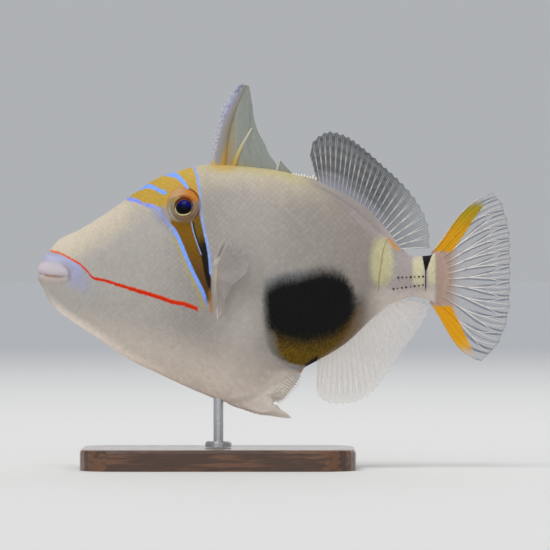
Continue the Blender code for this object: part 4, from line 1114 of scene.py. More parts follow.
def scale_form():
    """One plate as a closed form: points (lengthways, down, rise) within 1 of its middle, and faces."""
    mesh = bmesh.new()
    bmesh.ops.create_circle(mesh, cap_ends=True, segments=8, radius=1)
    face = mesh.faces[:][0]
    bmesh.ops.inset_individual(mesh, faces=[face], thickness=0.09, depth=0)
    for vert in face.verts:
        vert.co.z = 1
    top = bmesh.ops.poke(mesh, faces=[face], offset=0)["verts"][0]
    top.co.z = 1.7
    rim = [e for e in mesh.edges if e.is_boundary]
    bmesh.ops.contextual_create(mesh, geom=rim)
    for vert in mesh.verts:
        turn = math.atan2(vert.co.y, vert.co.x)
        sharp = (abs(math.cos(turn)) + abs(math.sin(turn))) ** 0.97
        vert.co.x, vert.co.y = vert.co.x / sharp, vert.co.y / sharp
    bmesh.ops.recalc_face_normals(mesh, faces=mesh.faces)
    mesh.verts.index_update()
    points = np.array([v.co for v in mesh.verts])
    faces = [[v.index for v in f.verts] for f in mesh.faces]
    mesh.free()
    return points, faces


def scale_spots(skin, count_along, ring_size):
    """Middles of plates in slanting rows, each as plates back from the nose and down from the mouth."""
    rings = np.arange(len(skin.stations))
    first, last = (np.interp(e, skin.stations, count_along) for e in (SCALE_START, SCALE_END))
    spots = []
    for column in range(int((last - first) * 2)):
        a = first + column / 2
        ring = np.interp(a, count_along, rings)
        size = np.interp(ring, rings, ring_size)
        upper, lower = np.interp(ring, rings, skin.top_end), np.interp(ring, rings, skin.low_end)
        row = math.ceil(upper / size) - 1
        while row * size < lower:
            b = row + (column % 2) / 2
            row += 1
            if upper + 0.5 * size < b * size < lower - 0.5 * size:
                spots.append((a, b))
    return np.array(spots)


def is_bare(skin, x, h):
    """Where the skin has no plates: at eye, gill, side fin, nostrils and mouth, and on the fins' feet."""
    half, low, high = BARE_GILL
    at_gill = (np.abs(x - skin.follow(GILL_LINE, h)) < half) & (h > low) & (h < high)
    fin_x, fin_h, wide, tall = BARE_FIN
    at_fin = np.hypot((x - fin_x) / wide, (h - fin_h) / tall) < 1
    at_nostril = np.min([np.hypot(x - a, h - b) for a, b in NOSTRILS], axis=0) < BARE_NOSTRIL
    crest = np.array([smooth(TOP, v)[0] for v in x])
    keel = np.array([smooth(BOTTOM, v)[0] for v in x])
    on_foot = (h > crest - 0.4) & (x > BARE_DORSAL_FOOT) | (h < keel + 0.4) & (x > BARE_ANAL_FOOT)
    at_eye = np.hypot(x - RIM_X, h - RIM_H) <= BARE_EYE
    return at_eye | at_gill | at_fin | at_nostril | on_foot | (np.hypot(x / 1.25, h + 1) <= BARE_MOUTH)


def make_scales(skin, look, sizes):
    """Covers each side with small plates set in slanting rows, in one mesh a side."""
    form, faces = scale_form()
    ring_size = np.array([smooth(SCALE_SIZE, x)[0] for x in skin.stations])
    steps = np.diff(skin.along) / ((ring_size[1:] + ring_size[:-1]) / 2)
    count_along = np.concatenate([[0], np.cumsum(steps)])
    rings = np.arange(len(skin.stations))
    spots = scale_spots(skin, count_along, ring_size)
    ring = np.interp(spots[:, 0], count_along, rings)
    size = np.interp(ring, rings, ring_size)
    middle, _ = skin.lookup(ring, spots[:, 1] * size)
    keep = ~is_bare(skin, middle[:, 0], middle[:, 2])
    spots, size, middle = spots[keep], size[keep], middle[keep]
    rng = random.Random(5)
    own = np.array([rng.random() for _ in spots])
    rise = sizes.scale_rise / MM * (0.8 + 0.4 * own) * np.clip((middle[:, 0] - 8) / 24, 0.3, 1)
    a = spots[:, None, 0] + form[None, :, 0] * SCALE_REACH
    b = spots[:, None, 1] + form[None, :, 1] * SCALE_REACH
    ring = np.interp(a, count_along, rings)
    offset = b * np.interp(ring, rings, ring_size)
    points, away = skin.lookup(ring, offset)
    heights = np.where(form[None, :, 2] > 0, form[None, :, 2] * rise[:, None] * 0.6, -0.05)
    points = points + away * heights[..., None]
    corners = np.array([len(f) for f in faces] * len(spots))
    order = np.concatenate([np.array(f) for f in faces])
    loops = (order[None, :] + np.arange(len(spots))[:, None] * len(form)).ravel()
    unwrap_u = spots[:, 0] / count_along[-1]
    unwrap_v = 0.5 + spots[:, 1] * size / SCALE_MAP
    for side, out in SIDES.items():
        data = bpy.data.meshes.new(f"scales_{side}")
        flat = points.reshape(-1, 3)
        places = [flat[:, 0] * MM + NOSE_X, out * flat[:, 1] * MM, flat[:, 2] * MM + MOUTH_Z]
        starts = np.concatenate([[0], np.cumsum(corners)[:-1]])
        data.vertices.add(len(flat))
        data.vertices.foreach_set("co", np.stack(places, axis=1).ravel())
        data.loops.add(len(loops))
        data.loops.foreach_set("vertex_index", loops)
        data.polygons.add(len(corners))
        data.polygons.foreach_set("loop_start", starts)
        data.update(calc_edges=True)
        data.validate()
        layer = data.uv_layers.new(name="OFBake")
        local = np.stack([form[order, 0], form[order, 1]], axis=1) * SCALE_ON_MAP
        uv = np.stack([unwrap_u, unwrap_v], axis=1)[:, None, :] + local[None]
        layer.data.foreach_set("uv", uv.ravel())
        mark = data.attributes.new("own_shade", "FLOAT", "POINT")
        mark.data.foreach_set("value", np.repeat(own, len(form)))
        piece = bpy.data.objects.new(f"scales_{side}", data)
        bpy.context.scene.collection.objects.link(piece)
        data.materials.append(look)
        if out < 0:
            data.flip_normals()
        data.shade_flat()
        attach(piece, "root")


def eye_paint(sizes):
    """A navy pupil, pointed at its front and with a painted blue reflection over its top, in a brown iris
    with a golden rim and a painted socket shadow along the iris's upper edge.
    """
    paint = Paint("fish_eye", 0.12, Specular_IOR_Level=0.08)
    u, v = paint.uv()
    across, up = (u - 0.5) * EYE_MAP, (v - 0.5) * EYE_MAP
    grain = paint.noise(0.35, 3) - 0.5
    pupil_r, iris_r = sizes.pupil / MM, sizes.iris / MM
    away = (across.power(2.0) + up.power(2.0)).power(0.5)
    point = (across * -0.95 + up * -0.2 - 0.8).atleast(0.0) * 0.2
    in_pupil = (away - point - pupil_r + 0.1).rise(0.07, -0.07)
    iris = paint.mix(up.rise(-1.5, 2.6), tone(150, 126, 92), tone(120, 58, 20))
    iris = paint.mix((grain + 0.5) * 0.4, iris, tone(98, 70, 40))
    rim = (away - point - pupil_r - 0.1).size().rise(0.3, 0.08)
    low = (up * -1.0 + across * 0.22).rise(2.2, 3.0) + (up * -0.8 + across * -0.8).rise(2.6, 3.3) * 0.5
    iris = paint.mix(rim * low.upto(1.0), iris, tone(240, 222, 170))
    # Painted shadow of the socket over the iris's upper edge
    iris = paint.mix(away.rise(iris_r - 0.5, iris_r + 0.1) * up.rise(-1, 2), iris, tone(48, 30, 20))
    # The pupil, near black below, with a painted blue reflection growing over its top and brightest at the
    # very top
    navy = paint.mix((up + across * 0.25).rise(-1.2, 1.5), tone(3, 5, 8), tone(6, 18, 92))
    navy = paint.mix((up - 1.2 + across * 0.1).rise(0.0, 1.5) * 0.5, navy, tone(14, 30, 130))
    return paint.finish(paint.mix(in_pupil, iris, navy))


def make_eyes(look, sizes):
    """Each eye: a ball with a dished iris, and the lens standing a little out of the pupil."""
    ball, pupil, iris = sizes.eyeball / MM, sizes.pupil / MM, sizes.iris / MM

    def from_axis(v):
        """Distance from the eye's axis: even steps over the front, then round the ball."""
        if v > BALL_FRONT:
            return ball * math.sin(math.pi * v)
        return ball * math.sin(math.pi * BALL_FRONT) * v / BALL_FRONT

    for side, out in SIDES.items():
        lean = Vector((EYE_LEAN.x, out * EYE_LEAN.y, EYE_LEAN.z))
        up = (Vector((0, 0, 1)) - lean * lean.z).normalized()
        back = Vector((1, 0, 0))
        back = (back - lean * lean.x - up * back.dot(up)).normalized()
        base = Vector((RIM_X, body_half_width(RIM_X, RIM_H) * out, RIM_H))
        base += back * BALL_BACK - lean * BALL_SINK - up * BALL_DOWN

        def where(u, v):
            away, rise, turn = from_axis(v), ball * math.cos(math.pi * v), FULL_TURN * u
            if rise > 0:
                rise = math.sqrt(ball * ball - away * away)
                rise += ease(0, LENS_RISE, (pupil - away) / 0.55) - ease(0, IRIS_DISH, (iris - away) / 0.5)
            spot = base + lean * rise + (back * math.cos(turn) + up * math.sin(turn)) * away
            return place(spot.x, spot.z, spot.y)

        def flat(u, v):
            away, turn = from_axis(v) if v < BALL_FRONT else 5.0, FULL_TURN * u
            return 0.5 + away * math.cos(turn) / EYE_MAP, 0.5 + away * math.sin(turn) / EYE_MAP
        mesh = bmesh.new()
        verts = grid_of(mesh, 72, 60, where, flat)
        close_up(mesh, verts)
        show_piece(f"eye_{side}_ball", mesh, look, [f"eye_{side}"])


def fin_place(fin, u, v, notch=0.0):
    """A point of an upright soft fin at shares along and up it, and the direction across it there."""
    low, high = Vector(smooth(fin["root"], u)), Vector(smooth(fin["tip"], u))
    inward = (low - high).normalized() * ROOT_SINK
    at = low + inward + (high - low - inward) * v * (1 - notch * v)
    wave = FIN_WAVE * math.sin(FULL_TURN * (FIN_WAVES * u + fin["phase"])) * v * v
    return Vector((at.x, at.y, wave))


def caudal_place(u, v, notch=0.0):
    """A point of the tail fin at shares down and out along it."""
    low, high = Vector(smooth(CAUDAL_ROOT, u)), Vector(smooth(CAUDAL_TIP, u))
    inward = Vector((-1, 0)) * ROOT_SINK
    line = high - low - inward
    at = low + inward + line * v * (1 - notch * v)
    bow = CAUDAL_BOW * (1 - 2 * u) * 6.75 * v * v * (1 - v)
    side = Vector((-line.y, line.x)).normalized() * bow
    return Vector((at.x + side.x, at.y + side.y, 0.0))


def pectoral_place(u, v, out, notch=0.0):
    """A point of a side fin, which leaves the body straight and then fans out."""
    x = PECTORAL_TOP[0] + (PECTORAL_FOOT[0] - PECTORAL_TOP[0]) * u
    h = PECTORAL_TOP[1] + (PECTORAL_FOOT[1] - PECTORAL_TOP[1]) * u
    root = Vector((x, h, body_half_width(x, h)))
    angle, reach, open_by = smooth(PECTORAL_FAN, u)
    angle, open_by = math.radians(angle), math.radians(open_by)
    along = Vector((math.cos(angle), math.sin(angle), 0)) * math.cos(open_by)
    along.z = math.sin(open_by)
    if v < PECTORAL_TURN:
        at = root + Vector((0, 0, 1)) * (v / PECTORAL_TURN * (1 + ROOT_SINK) - ROOT_SINK)
    else:
        share = (v - PECTORAL_TURN) / (1 - PECTORAL_TURN)
        at = root + Vector((0, 0, 1)) + along * reach * share * (1 - notch * share)
    return Vector((at.x, at.y, out * at.z))


def fin_web(name, surface, columns_per_ray, rays, rows, look, notch, replaced, thick=WEB_THICK):
    """The web of a fin: a dense sheet with a scalloped edge, given its thickness."""
    columns = columns_per_ray * (rays - 1)

    def where(u, v):
        between = abs(math.sin(math.pi * u * (rays - 1)))
        spot = surface(u, v, notch * between ** 1.5)
        return place(*spot)
    mesh = bmesh.new()
    grid_of(mesh, columns, rows, where, lambda u, v: (u, v))
    bmesh.ops.recalc_face_normals(mesh, faces=mesh.faces)
    return show_piece(name, mesh, look, replaced, thicken(thick))


def fin_rays(name, surface, rays, look, slot, radius, fork_at=0.45, forks=2, spread=0.3, flat=0.8,
             reach=0.985, fine=0.16):
    """Soft rays as slim tapering rods that fork towards the edge of the fin."""
    mesh = bmesh.new()

    def rod(track, start, end, thick_start, thick_end):
        """Adds a rod from start to end up the fin, where track gives its share along the fin."""
        steps = max(4, round((end - start) * 26))
        path = []
        for k in range(steps + 1):
            share = k / steps
            v = start + (end - start) * share
            u = track(v)
            here, ahead = surface(u, v), surface(u, min(1, v + 0.02))
            aside = surface(min(1, u + EDGE_RAY_IN), v) - surface(max(0, u - EDGE_RAY_IN), v)
            run = (ahead - here).normalized() if (ahead - here).length > 1e-6 else Vector((1, 0, 0))
            across = (aside - run * aside.dot(run)).normalized()
            size = (thick_start + (thick_end - thick_start) * share) * MM
            size *= min(1, 0.12 + (1 - share) / 0.14) * min(1, 0.45 + share / 0.12)
            path.append((place(*here), across.xzy, run.cross(across).xzy, size * flat, size))
        tube(mesh, path, 6, lambda u, v: (track(start), start + (end - start) * u))

    def fork(track, way, opening, since):
        """A track that leaves another by so much of the gap between two rays."""
        return lambda v: track(v) + way * gap * spread * opening * ease(0, 1, (v - since) / (1 - since))
    gap = 1 / (rays - 1)
    split = (1 + fork_at) / 2
    for ray in range(rays):
        edge = ray in (0, rays - 1)
        inner = EDGE_RAY_IN * (1 if ray == 0 else -1) if edge else 0.0
        single = edge or not forks
        rod(lambda v: ray * gap + inner, 0.02, reach if single else fork_at + 0.09,
            radius, radius * (0.35 if edge else 0.72))
        if single:
            continue
        for way in (-1, 1):
            first = fork(lambda v: ray * gap, way, 0.5, fork_at)
            if forks < 2:
                rod(first, fork_at - 0.01, reach, radius * 0.72, radius * 0.2)
                continue
            rod(first, fork_at - 0.01, split + 0.06, radius * 0.72, radius * 0.45)
            for turn in (-1, 1):
                rod(fork(first, turn, 0.32, split), split - 0.02, reach, radius * 0.46, radius * fine)
    return show_piece(name, mesh, look, ())


def web_paint(name, tint, clear_root, clear_edge, patterned=None):
    """A thin web, as clear at its root and at its edge as asked."""
    paint = Paint(name, 0.4, Specular_IOR_Level=0.2)
    u, v = paint.uv()
    base = paint.mix(paint.noise(2.0, 3) * 0.6, tint, tuple(0.78 * c for c in tint))
    alpha = clear_root + (clear_edge - clear_root) * v.rise(0.1, 0.95, False)
    alpha = alpha + (paint.noise(1.4, 2) - 0.5) * 0.12
    if patterned:
        base, alpha = patterned(paint, base, alpha, u, v)
    return paint.finish(base, alpha=alpha, height=paint.noise(0.5, 2), bump=0.00008, strength=0.5)


def ray_paint(name, hues, rays, dashes, dark_share, patterned):
    """Pale rays with darker dashes along them."""
    paint = Paint(name, 0.4, Specular_IOR_Level=0.25)
    u, v = paint.uv()
    wave = (v * dashes * FULL_TURN + u * rays * 0.7).sine()
    dash = (wave + (paint.noise(1.0, 1) - 0.5) * 1.6).rise(0.1, 0.7)
    base = paint.mix(dash * dark_share, hues.ray, hues.ray_dark)
    base, alpha = patterned(paint, base, v.rise(1.0, 0.75, False) * 0.25 + 0.75, u, v)
    return paint.finish(base, alpha=alpha)


def tail_pattern(hues, shaded=0):
    """The orange bars and brown root of the tail fin, with shadow lines beside its rays if shaded."""
    def pattern(paint, base, alpha, u, v):
        x, h = paint.x, paint.h
        if shaded:
            turn = u * (shaded - 1.0)
            off = turn - turn.whole()
            for side, start in ((1, 0.1), (-1, 0.4)):
                lane = v.curve([(0, 0), (0.3, 0.02), (0.65, 0.2), (1, 0.3)]) + 0.095
                line = (off * side - lane).near(0, 0.085, 0.015)
                line = line * v.rise(start, start + 0.25) * v.rise(1.25, 0.9)
                base = paint.mix(line * 0.85, base, tone(104, 112, 134))
                alpha = alpha.atleast(line * 0.75)
            base = paint.mix(off.near(0, 0.07, 0.02) * v.rise(0.5, 0.62) * 0.6, base, tone(124, 130, 148))
        wobble = paint.noise(1.6, 2) - 0.5
        foot = (x + wobble * 3.0).rise(161.6, 155.6) * (h + 2.2 + wobble).near(0, 12.4, 9.6)
        grain = (paint.noise(0.6, 2, (3, 1, 1)) - 0.5) * 1.4

        def one_bar(middle, half, near_end, far_end):
            inside = ((x + grain - h.curve(middle)).size() - h.curve(half)).rise(0.5, -0.5)
            return inside * (h + grain * 1.6).rise(*near_end) * (h + grain * 3).rise(*far_end)
        bar = one_bar(TAIL_BAR_UP, TAIL_HALF_UP, (7.2, 8.6), (28.4, 24.4)).atleast(
            one_bar(TAIL_BAR_LOW, TAIL_HALF_LOW, (-11.8, -13.2), (-32.4, -27.4)))
        bands = (u * (CAUDAL_RAYS - 1.0) * 3 * FULL_TURN).sine() * 0.5 + 0.5
        deep = paint.layers(
            hues.tail_bar,
            ((h + 1.8).size().rise(14, 29) * h.rise(-8, 8), tone(166, 150, 20)),
            ((h + 1.8).rise(-22, -32) * 0.8, tone(240, 204, 96)),
            (bands * 0.3, paint.mix(h.rise(-8, 8), tone(206, 124, 0), tone(150, 118, 0))))
        base = paint.layers(base, (foot, hues.tail_base), (bar, deep))
        return base, alpha.atleast(bar * 0.94).atleast(foot * 0.92)
    return pattern


def dorsal_pattern(paint, base, alpha, u, v):
    """Rows of dark blots between the rays of the soft dorsal fin, and its paler foot."""
    foot = v.rise(0.56, 0.1) * (u.rise(0.95, 0.6) * 0.6 + 0.4)
    blot = paint.noise(1.5, 2) - 0.5
    turn = u * (SOFT_DORSAL["rays"] - 1.0)
    shift = (turn.whole() * 12.9).sine() * 0.9
    rows = (v * 6.5 * FULL_TURN + shift * 2.2 + blot * 5.0).sine().rise(-0.7, 0.5)
    rows = rows * v.rise(0.2, 0.5) * u.rise(0.92, 0.6) * (turn - turn.whole()).size().rise(0.06, 0.22)
    base = paint.layers(
        base,
        (foot, tone(166, 166, 174)),
        (rows * 0.6, tone(52, 58, 64)),
        (u.rise(0.6, 0.9) * (1 - foot) * 0.7, tone(150, 154, 158)))
    return base, (alpha - u.rise(0.6, 0.95) * 0.25).atleast(foot * 0.9).atleast(rows * 0.62)


def spine_body(mesh, line, steps, sides, rough=0.0):
    """Adds a tapering spine through a line of (share, x, h, half depth, half thickness), a little rough."""
    path = []
    for k in range(steps + 1):
        share = k / steps
        x, h, depth, thick = smooth(line, share)
        ahead, behind = smooth(line, min(1, share + 0.01)), smooth(line, max(0, share - 0.01))
        run = Vector((ahead[0] - behind[0], ahead[1] - behind[1])).normalized()
        lump = 1 + rough * noise.noise(Vector((x, h, 0)) * 1.3)
        across, out = Vector((-run.y, 0, run.x)), Vector((0, 1, 0))
        path.append((place(x, h), across, out, depth * lump * MM, thick * lump * MM))
    tube(mesh, path, sides)


def add_spine_teeth(mesh, count):
    """Adds three rows of blunt teeth up the front of the first spine."""
    rng = random.Random(11)
    for column, turn in enumerate((0, 42, -42)):
        turn = math.radians(turn)
        for k in range(count):
            share = 0.1 + 0.9 * (k + 0.5 * (column > 0)) / count
            if share > 1 or (column and rng.random() < 0.35):
                continue
            x, h, depth, thick = smooth(FIRST_SPINE, share)
            above, below = smooth(FIRST_SPINE, min(1, share + 0.03)), smooth(FIRST_SPINE, share - 0.03)
            run = Vector((above[0] - below[0], above[1] - below[1])).normalized()
            front = Vector((-run.y, run.x))
            size = (0.55 + 1.25 * share) * rng.uniform(0.7, 1.3) * (1 - 0.45 * abs(turn))
            spot = Vector((x, h)) + front * depth * 0.92 * math.cos(turn)
            aside = thick * 0.92 * math.sin(turn)
            way = front * math.cos(turn) * 0.9 + run * 0.7
            knob(mesh, place(*(spot - way * 0.4), aside),
                 place(*(spot + way * size), aside + math.sin(turn) * size * 0.6),
                 (0.36 + 0.22 * share) * rng.uniform(0.8, 1.15) * MM)


def spine_paint(hues):
    """Grey lilac with a violet front for the first spine, and pale ones behind it, all golden at the foot."""
    paint = Paint("first_spine", 0.42, Coat_Weight=0.1, Coat_Roughness=0.3)
    x, h = paint.x, paint.h
    rear = x - h.curve(SPINE_REAR)
    wear = paint.noise(3.0, 2) - 0.5
    pale = paint.mix((h + wear * 2).rise(41, 52), tone(190, 160, 70), tone(196, 192, 168))
    base = paint.layers(
        hues.spine,
        (paint.noise(1.6, 4, (1, 1, 3)) * 0.5, tone(122, 116, 112)),
        (rear.rise(0.4, -2.2) * h.rise(48, 66) * 0.8, tone(150, 160, 196)),
        ((paint.noise(0.7, 2) + rear * -0.12).rise(0.55, 0.9) * rear.rise(-1.2, -2.6) * 0.7,
         tone(204, 204, 218)),
        ((rear + wear).rise(-1.6, 1.4) * h.rise(71, 54) * 0.6, tone(150, 134, 92)),
        ((h + wear * 6 - rear * 4.0).rise(47, 37) * 0.9, tone(196, 156, 72)),
        ((h + wear * 2 + rear * 0.5).rise(41.6, 39.4) * rear.rise(1, -2) * 0.8, tone(226, 170, 40)),
        ((x - h.curve([(37, 72.4), (46, 75.2), (56, 80)])).rise(-0.2, 0.3), pale),
        (x.rise(85, 88), tone(190, 190, 180)))
    return paint.finish(base, height=paint.noise(0.6, 3, (1, 1, 3)), bump=0.0002, strength=0.5)


def spiny_web_paint(hues):
    """Greenish grey membrane with golden streaks, clearer towards its edge."""
    paint = Paint("spiny_web", 0.35, Coat_Weight=0.2, Coat_Roughness=0.25)
    x, h = paint.x, paint.h
    u, v = paint.uv()
    cloud = paint.noise(3.0, 3) - 0.5
    low = h + paint.noise(2.0, 2) * 3
    base = paint.layers(
        hues.spine_web,
        (paint.noise(2.4, 4) * 0.8, tone(164, 168, 162)),
        ((v * 7 * FULL_TURN + u * 5).sine().rise(0.2, 0.9) * 0.12, tone(104, 108, 100)),
        ((v + cloud * 0.1).rise(0.4, 0.05) * (u + cloud * 0.2).rise(0.75, 0.25) * 0.85, tone(184, 146, 62)),
        ((v + cloud * 0.06).rise(0.12, 0.02) * u.rise(0.98, 0.6) * 0.5, tone(152, 140, 110)),
        ((v + cloud * 0.04).near(0.3, 0.05, 0.0) * (u + cloud * 0.2).between(0.15, 0.85, 0.15) * 0.5,
         tone(176, 170, 142)),
        ((v + cloud * 0.04).near(0.2, 0.05, 0.0) * u.rise(0.45, 0.8) * 0.6, tone(88, 88, 80)),
        (low.rise(45, 40) * x.rise(84, 76) * 0.8, tone(196, 162, 70)),
        (low.rise(42, 39.5) * x.rise(76, 84) * 0.4, tone(150, 142, 106)))
    alpha = 0.86 - v.rise(0.3, 1.0) * 0.2 + (paint.noise(1.2, 2) - 0.5) * 0.12
    return paint.finish(base, alpha=alpha, height=paint.noise(0.7, 2), bump=0.0001, strength=0.5)


def make_spiny_fin(hues, sizes):
    """The three dorsal spines with their teeth, and the torn web behind them."""
    mesh = bmesh.new()
    for line, steps, sides, rough in ((FIRST_SPINE, 60, 20, 0.06), (SECOND_SPINE, 24, 10, 0.05),
                                      (THIRD_SPINE, 12, 8, 0.05)):
        spine_body(mesh, line, steps, sides, rough)
    add_spine_teeth(mesh, sizes.spine_teeth)
    show_piece("spiny_fin_spines", mesh, spine_paint(hues), ["spiny_dorsal_fin"])

    def between(near, far, torn=0.0):
        def surface(u, v):
            low, high = Vector(smooth(near, u)[:2]), Vector(smooth(far, u)[:2])
            at = low + (high - low) * v
            second = math.exp(-((at.x - 81.5 - (at.y - 55) * 0.04) / 0.7) ** 2)
            fold = (0.3 * math.sin(v * 7 + u * 3) * (1 - u * 0.6) + 0.5 * second) * v
            return place(at.x, at.y, fold) + Vector((-1, 0, 0.2)) * (torn * v ** 6 * abs(math.sin(u * 17)))
        return surface
    web = bmesh.new()
    grid_of(web, 60, 30, between(FIRST_SPINE, WEB_EDGE, 0.00025), lambda u, v: (u, v))
    grid_of(web, 14, 10, between(BACK_WEB_ROOT, BACK_WEB_TIP), lambda u, v: (0.2 + u * 0.1, v))
    bmesh.ops.recalc_face_normals(web, faces=web.faces)
    show_piece("spiny_fin_web", web, spiny_web_paint(hues), (), thicken(0.22))


def make_flap_spines(skin):
    """The stub spine under the belly with its barbs, and rows of fine spines up the flap's back edge."""
    rng = random.Random(23)
    mesh = bmesh.new()
    spine_body(mesh, STUB_SPINE, 36, 12, 0.2)
    way = Vector((0.86, -0.5)).normalized()
    for row, count in enumerate(COMB_ROWS):
        for k in range(count):
            x, h = smooth(FLAP_REAR, (k + 0.5 * (row % 2)) / count)
            middle = Vector((x, h)) + Vector(COMB_STEP) * row
            for out in SIDES.values():
                long = (3.1 - 0.5 * row) * rng.uniform(0.75, 1.15)
                foot, tip = middle - way * long * 0.45, middle + way * long * 0.55
                foot, tip = (*foot, out * (skin.at(*foot) - 0.1)), (*tip, out * (skin.at(*tip) + 0.22))
                cone(mesh, place(*foot), place(*tip), 0.36 * MM, 6)
    for k in range(STUB_BARBS):
        share = 0.1 + 0.86 * k / (STUB_BARBS - 1)
        x, h, depth, thick = smooth(STUB_SPINE, share)
        for out in SIDES.values():
            size = rng.uniform(0.7, 1.25) * (0.7 + 0.5 * share)
            foot = place(x - 0.2, h - 0.5 * depth, out * thick * 0.5)
            tip = place(x + size, h - depth - 0.35 * size, out * (thick * 0.75 + 0.1))
            cone(mesh, foot, tip, 0.3 * MM, 5)
    paint = Paint("flap_spines", 0.45)
    base = paint.layers(
        tone(238, 228, 216),
        (paint.noise(1.4, 3) * 0.8, tone(160, 151, 142)),
        ((paint.h + 50.6 + (paint.x - 84) * 0.1).rise(0.5, -0.5) * 0.8, tone(222, 209, 196)))
    show_piece("flap_spines", mesh, paint.finish(base, height=paint.noise(0.4, 2), bump=0.0001), ())


def mottled(name, roughness, grain, light, dark):
    """A plain paint of two tones."""
    paint = Paint(name, roughness)
    return paint.finish(paint.mix(paint.noise(grain, 2), light, dark))


def make_ridge_tips():
    """Pale scale tips along the ridge of the back between the two dorsal fins."""
    rng = random.Random(3)
    mesh = bmesh.new()
    for k in range(RIDGE_TIPS):
        x = RIDGE_START + RIDGE_STEP * k
        h = smooth(TOP, x)[0] + smooth(DORSAL_FOOT, x)[0]
        size = rng.uniform(0.6, 1.4) * (0.55 + 0.07 * k)
        for out in SIDES.values():
            knob(mesh, place(x, h - 0.7, out * 0.5), place(x + 0.2, h + size, out * 0.4), 0.44 * MM)
    look = mottled("ridge_tips", 0.5, 0.8, tone(252, 248, 236), tone(216, 208, 180))
    show_piece("ridge_tips", mesh, look, ())


def make_stalk_spines(skin):
    """Small black spines in rows on the tail stalk, each with its tip turned forward."""
    mesh = bmesh.new()
    for count, start, front_h, back_h in STALK_ROWS:
        for k in range(count):
            share = k / (count - 1)
            x, h = start + (STALK_END - start) * share, front_h + (back_h - front_h) * share
            wide = 0.26 + 0.2 * (0.5 + 0.5 * math.sin(k * 2.4 + count))
            y = skin.at(x, h)
            for out in SIDES.values():
                foot, tip = place(x + 0.15, h, out * (y - 0.4)), place(x - 0.2, h, out * (y + 0.55))
                knob(mesh, foot, tip, wide * MM)
    look = mottled("stalk_spines", 0.3, 0.5, tone(18, 17, 16), tone(46, 40, 34))
    show_piece("stalk_spines", mesh, look, ())


def face_out(mesh):
    """Turns every face of thin patches on both sides of the fish away from its middle."""
    for face in mesh.faces:
        face.normal_update()
        if face.normal.y * face.calc_center_median().y < 0:
            face.normal_flip()


def make_scutes(skin, look):
    """Bony plates behind the gill slit, each raised and ridged."""
    mesh = bmesh.new()
    for x, h, half in SCUTES:
        for out in SIDES.values():
            def where(u, v, x=x, h=h, half=half, out=out):
                turn = FULL_TURN * u
                away = half * v * (1 + 0.12 * math.cos(turn * 4))
                px, ph = x + away * math.cos(turn), h + 0.92 * away * math.sin(turn)
                rise = 0.42 * (1 - v ** 3) + 0.07 * math.cos(v * 14) - 0.12
                return place(px, ph, out * (skin.at(px, ph) + rise))
            verts = grid_of(mesh, 24, 8, where)
            bmesh.ops.remove_doubles(mesh, verts=verts, dist=SEAM)
    face_out(mesh)
    show_piece("scutes", mesh, look, ())


def make_soft_fins(hues, sizes):
    """The soft dorsal and the anal fin."""
    def dorsal_rays(paint, base, alpha, u, v):
        rear = paint.mix(u.rise(0.62, 0.85) * 0.85, base, tone(222, 218, 212))
        return paint.mix(v.rise(0.5, 0.12) * u.rise(0.9, 0.6), rear, tone(168, 170, 184)), alpha

    def anal_rays(paint, base, alpha, u, v):
        return paint.mix(0.85, base, tone(232, 224, 214)), alpha
    radius = sizes.ray / MM
    fins = [
        ("soft_dorsal", SOFT_DORSAL, "dorsal", (tone(90, 96, 99), 0.74, 0.52, dorsal_pattern),
         (6, 0.3, dorsal_rays), 0.03, (radius, 0.35, 1, 0.3, 0.8, 1.0)),
        ("anal", ANAL, "anal", (tone(240, 232, 224), 0.5, 0.2),
         (5, 0.1, anal_rays), 0.02, (radius * 0.4, 0.45, 2, 0.5))]
    for name, fin, short, tints, dashes, notch, form in fins:
        rays = fin["rays"]
        surface = lambda u, v, notch=0.0: fin_place(fin, u, v, notch)
        web, ray = web_paint(f"{short}_web", *tints), ray_paint(f"{short}_rays", hues, rays, *dashes)
        fin_web(f"{name}_web", surface, 6, rays, 26, web, notch, [f"{name}_fin"])
        fin_rays(f"{name}_rays", surface, rays, ray, "fin", *form)


def make_tail_fin(hues, sizes):
    """The tail fin, with its orange bars on web and rays."""
    pale = tail_pattern(hues)

    def tail_rays(paint, base, alpha, u, v):
        return pale(paint, paint.mix(0.8, base, tone(234, 229, 224)), alpha, u, v)
    web = web_paint("tail_web", hues.web, 0.62, 0.42, tail_pattern(hues, CAUDAL_RAYS))
    rays = ray_paint("tail_rays", hues, CAUDAL_RAYS, 3, 0.0, tail_rays)
    fin_web("tail_web", caudal_place, 10, CAUDAL_RAYS, 30, web, 0.02, ["caudal_fin"], 0.2)
    fin_rays("tail_rays", caudal_place, CAUDAL_RAYS, rays, "tail_fin", sizes.ray / MM * 1.25, 0.3, 2, 0.66,
             0.75, 0.995, 0.34)


def make_side_fins(hues, sizes):
    """Both side fins, nearly clear but for a greenish foot."""
    def greenish(paint, base, alpha, u, v):
        foot = v.rise(0.42, 0.18)
        return paint.mix(foot * 0.4, base, tone(186, 176, 140)), alpha.atleast(foot * 0.92)

    def side_rays(paint, base, alpha, u, v):
        return paint.mix(0.8, base, tone(184, 176, 170)), alpha * 0.7
    web = web_paint("side_fin_web", tone(180, 172, 166), 0.86, 0.34, greenish)
    rays = ray_paint("side_fin_rays", hues, PECTORAL_RAYS, 4, 0.0, side_rays)
    for side, out in SIDES.items():
        surface = lambda u, v, notch=0.0: pectoral_place(u, v, out, notch)
        fin_web(f"side_fin_web_{side}", surface, 6, PECTORAL_RAYS, 24, web, 0.03, [f"pectoral_fin_{side}"],
                0.14)
        fin_rays(f"side_fin_rays_{side}", surface, PECTORAL_RAYS, rays, "fin", sizes.ray / MM * 0.36,
                 0.5, 1, 0.4)


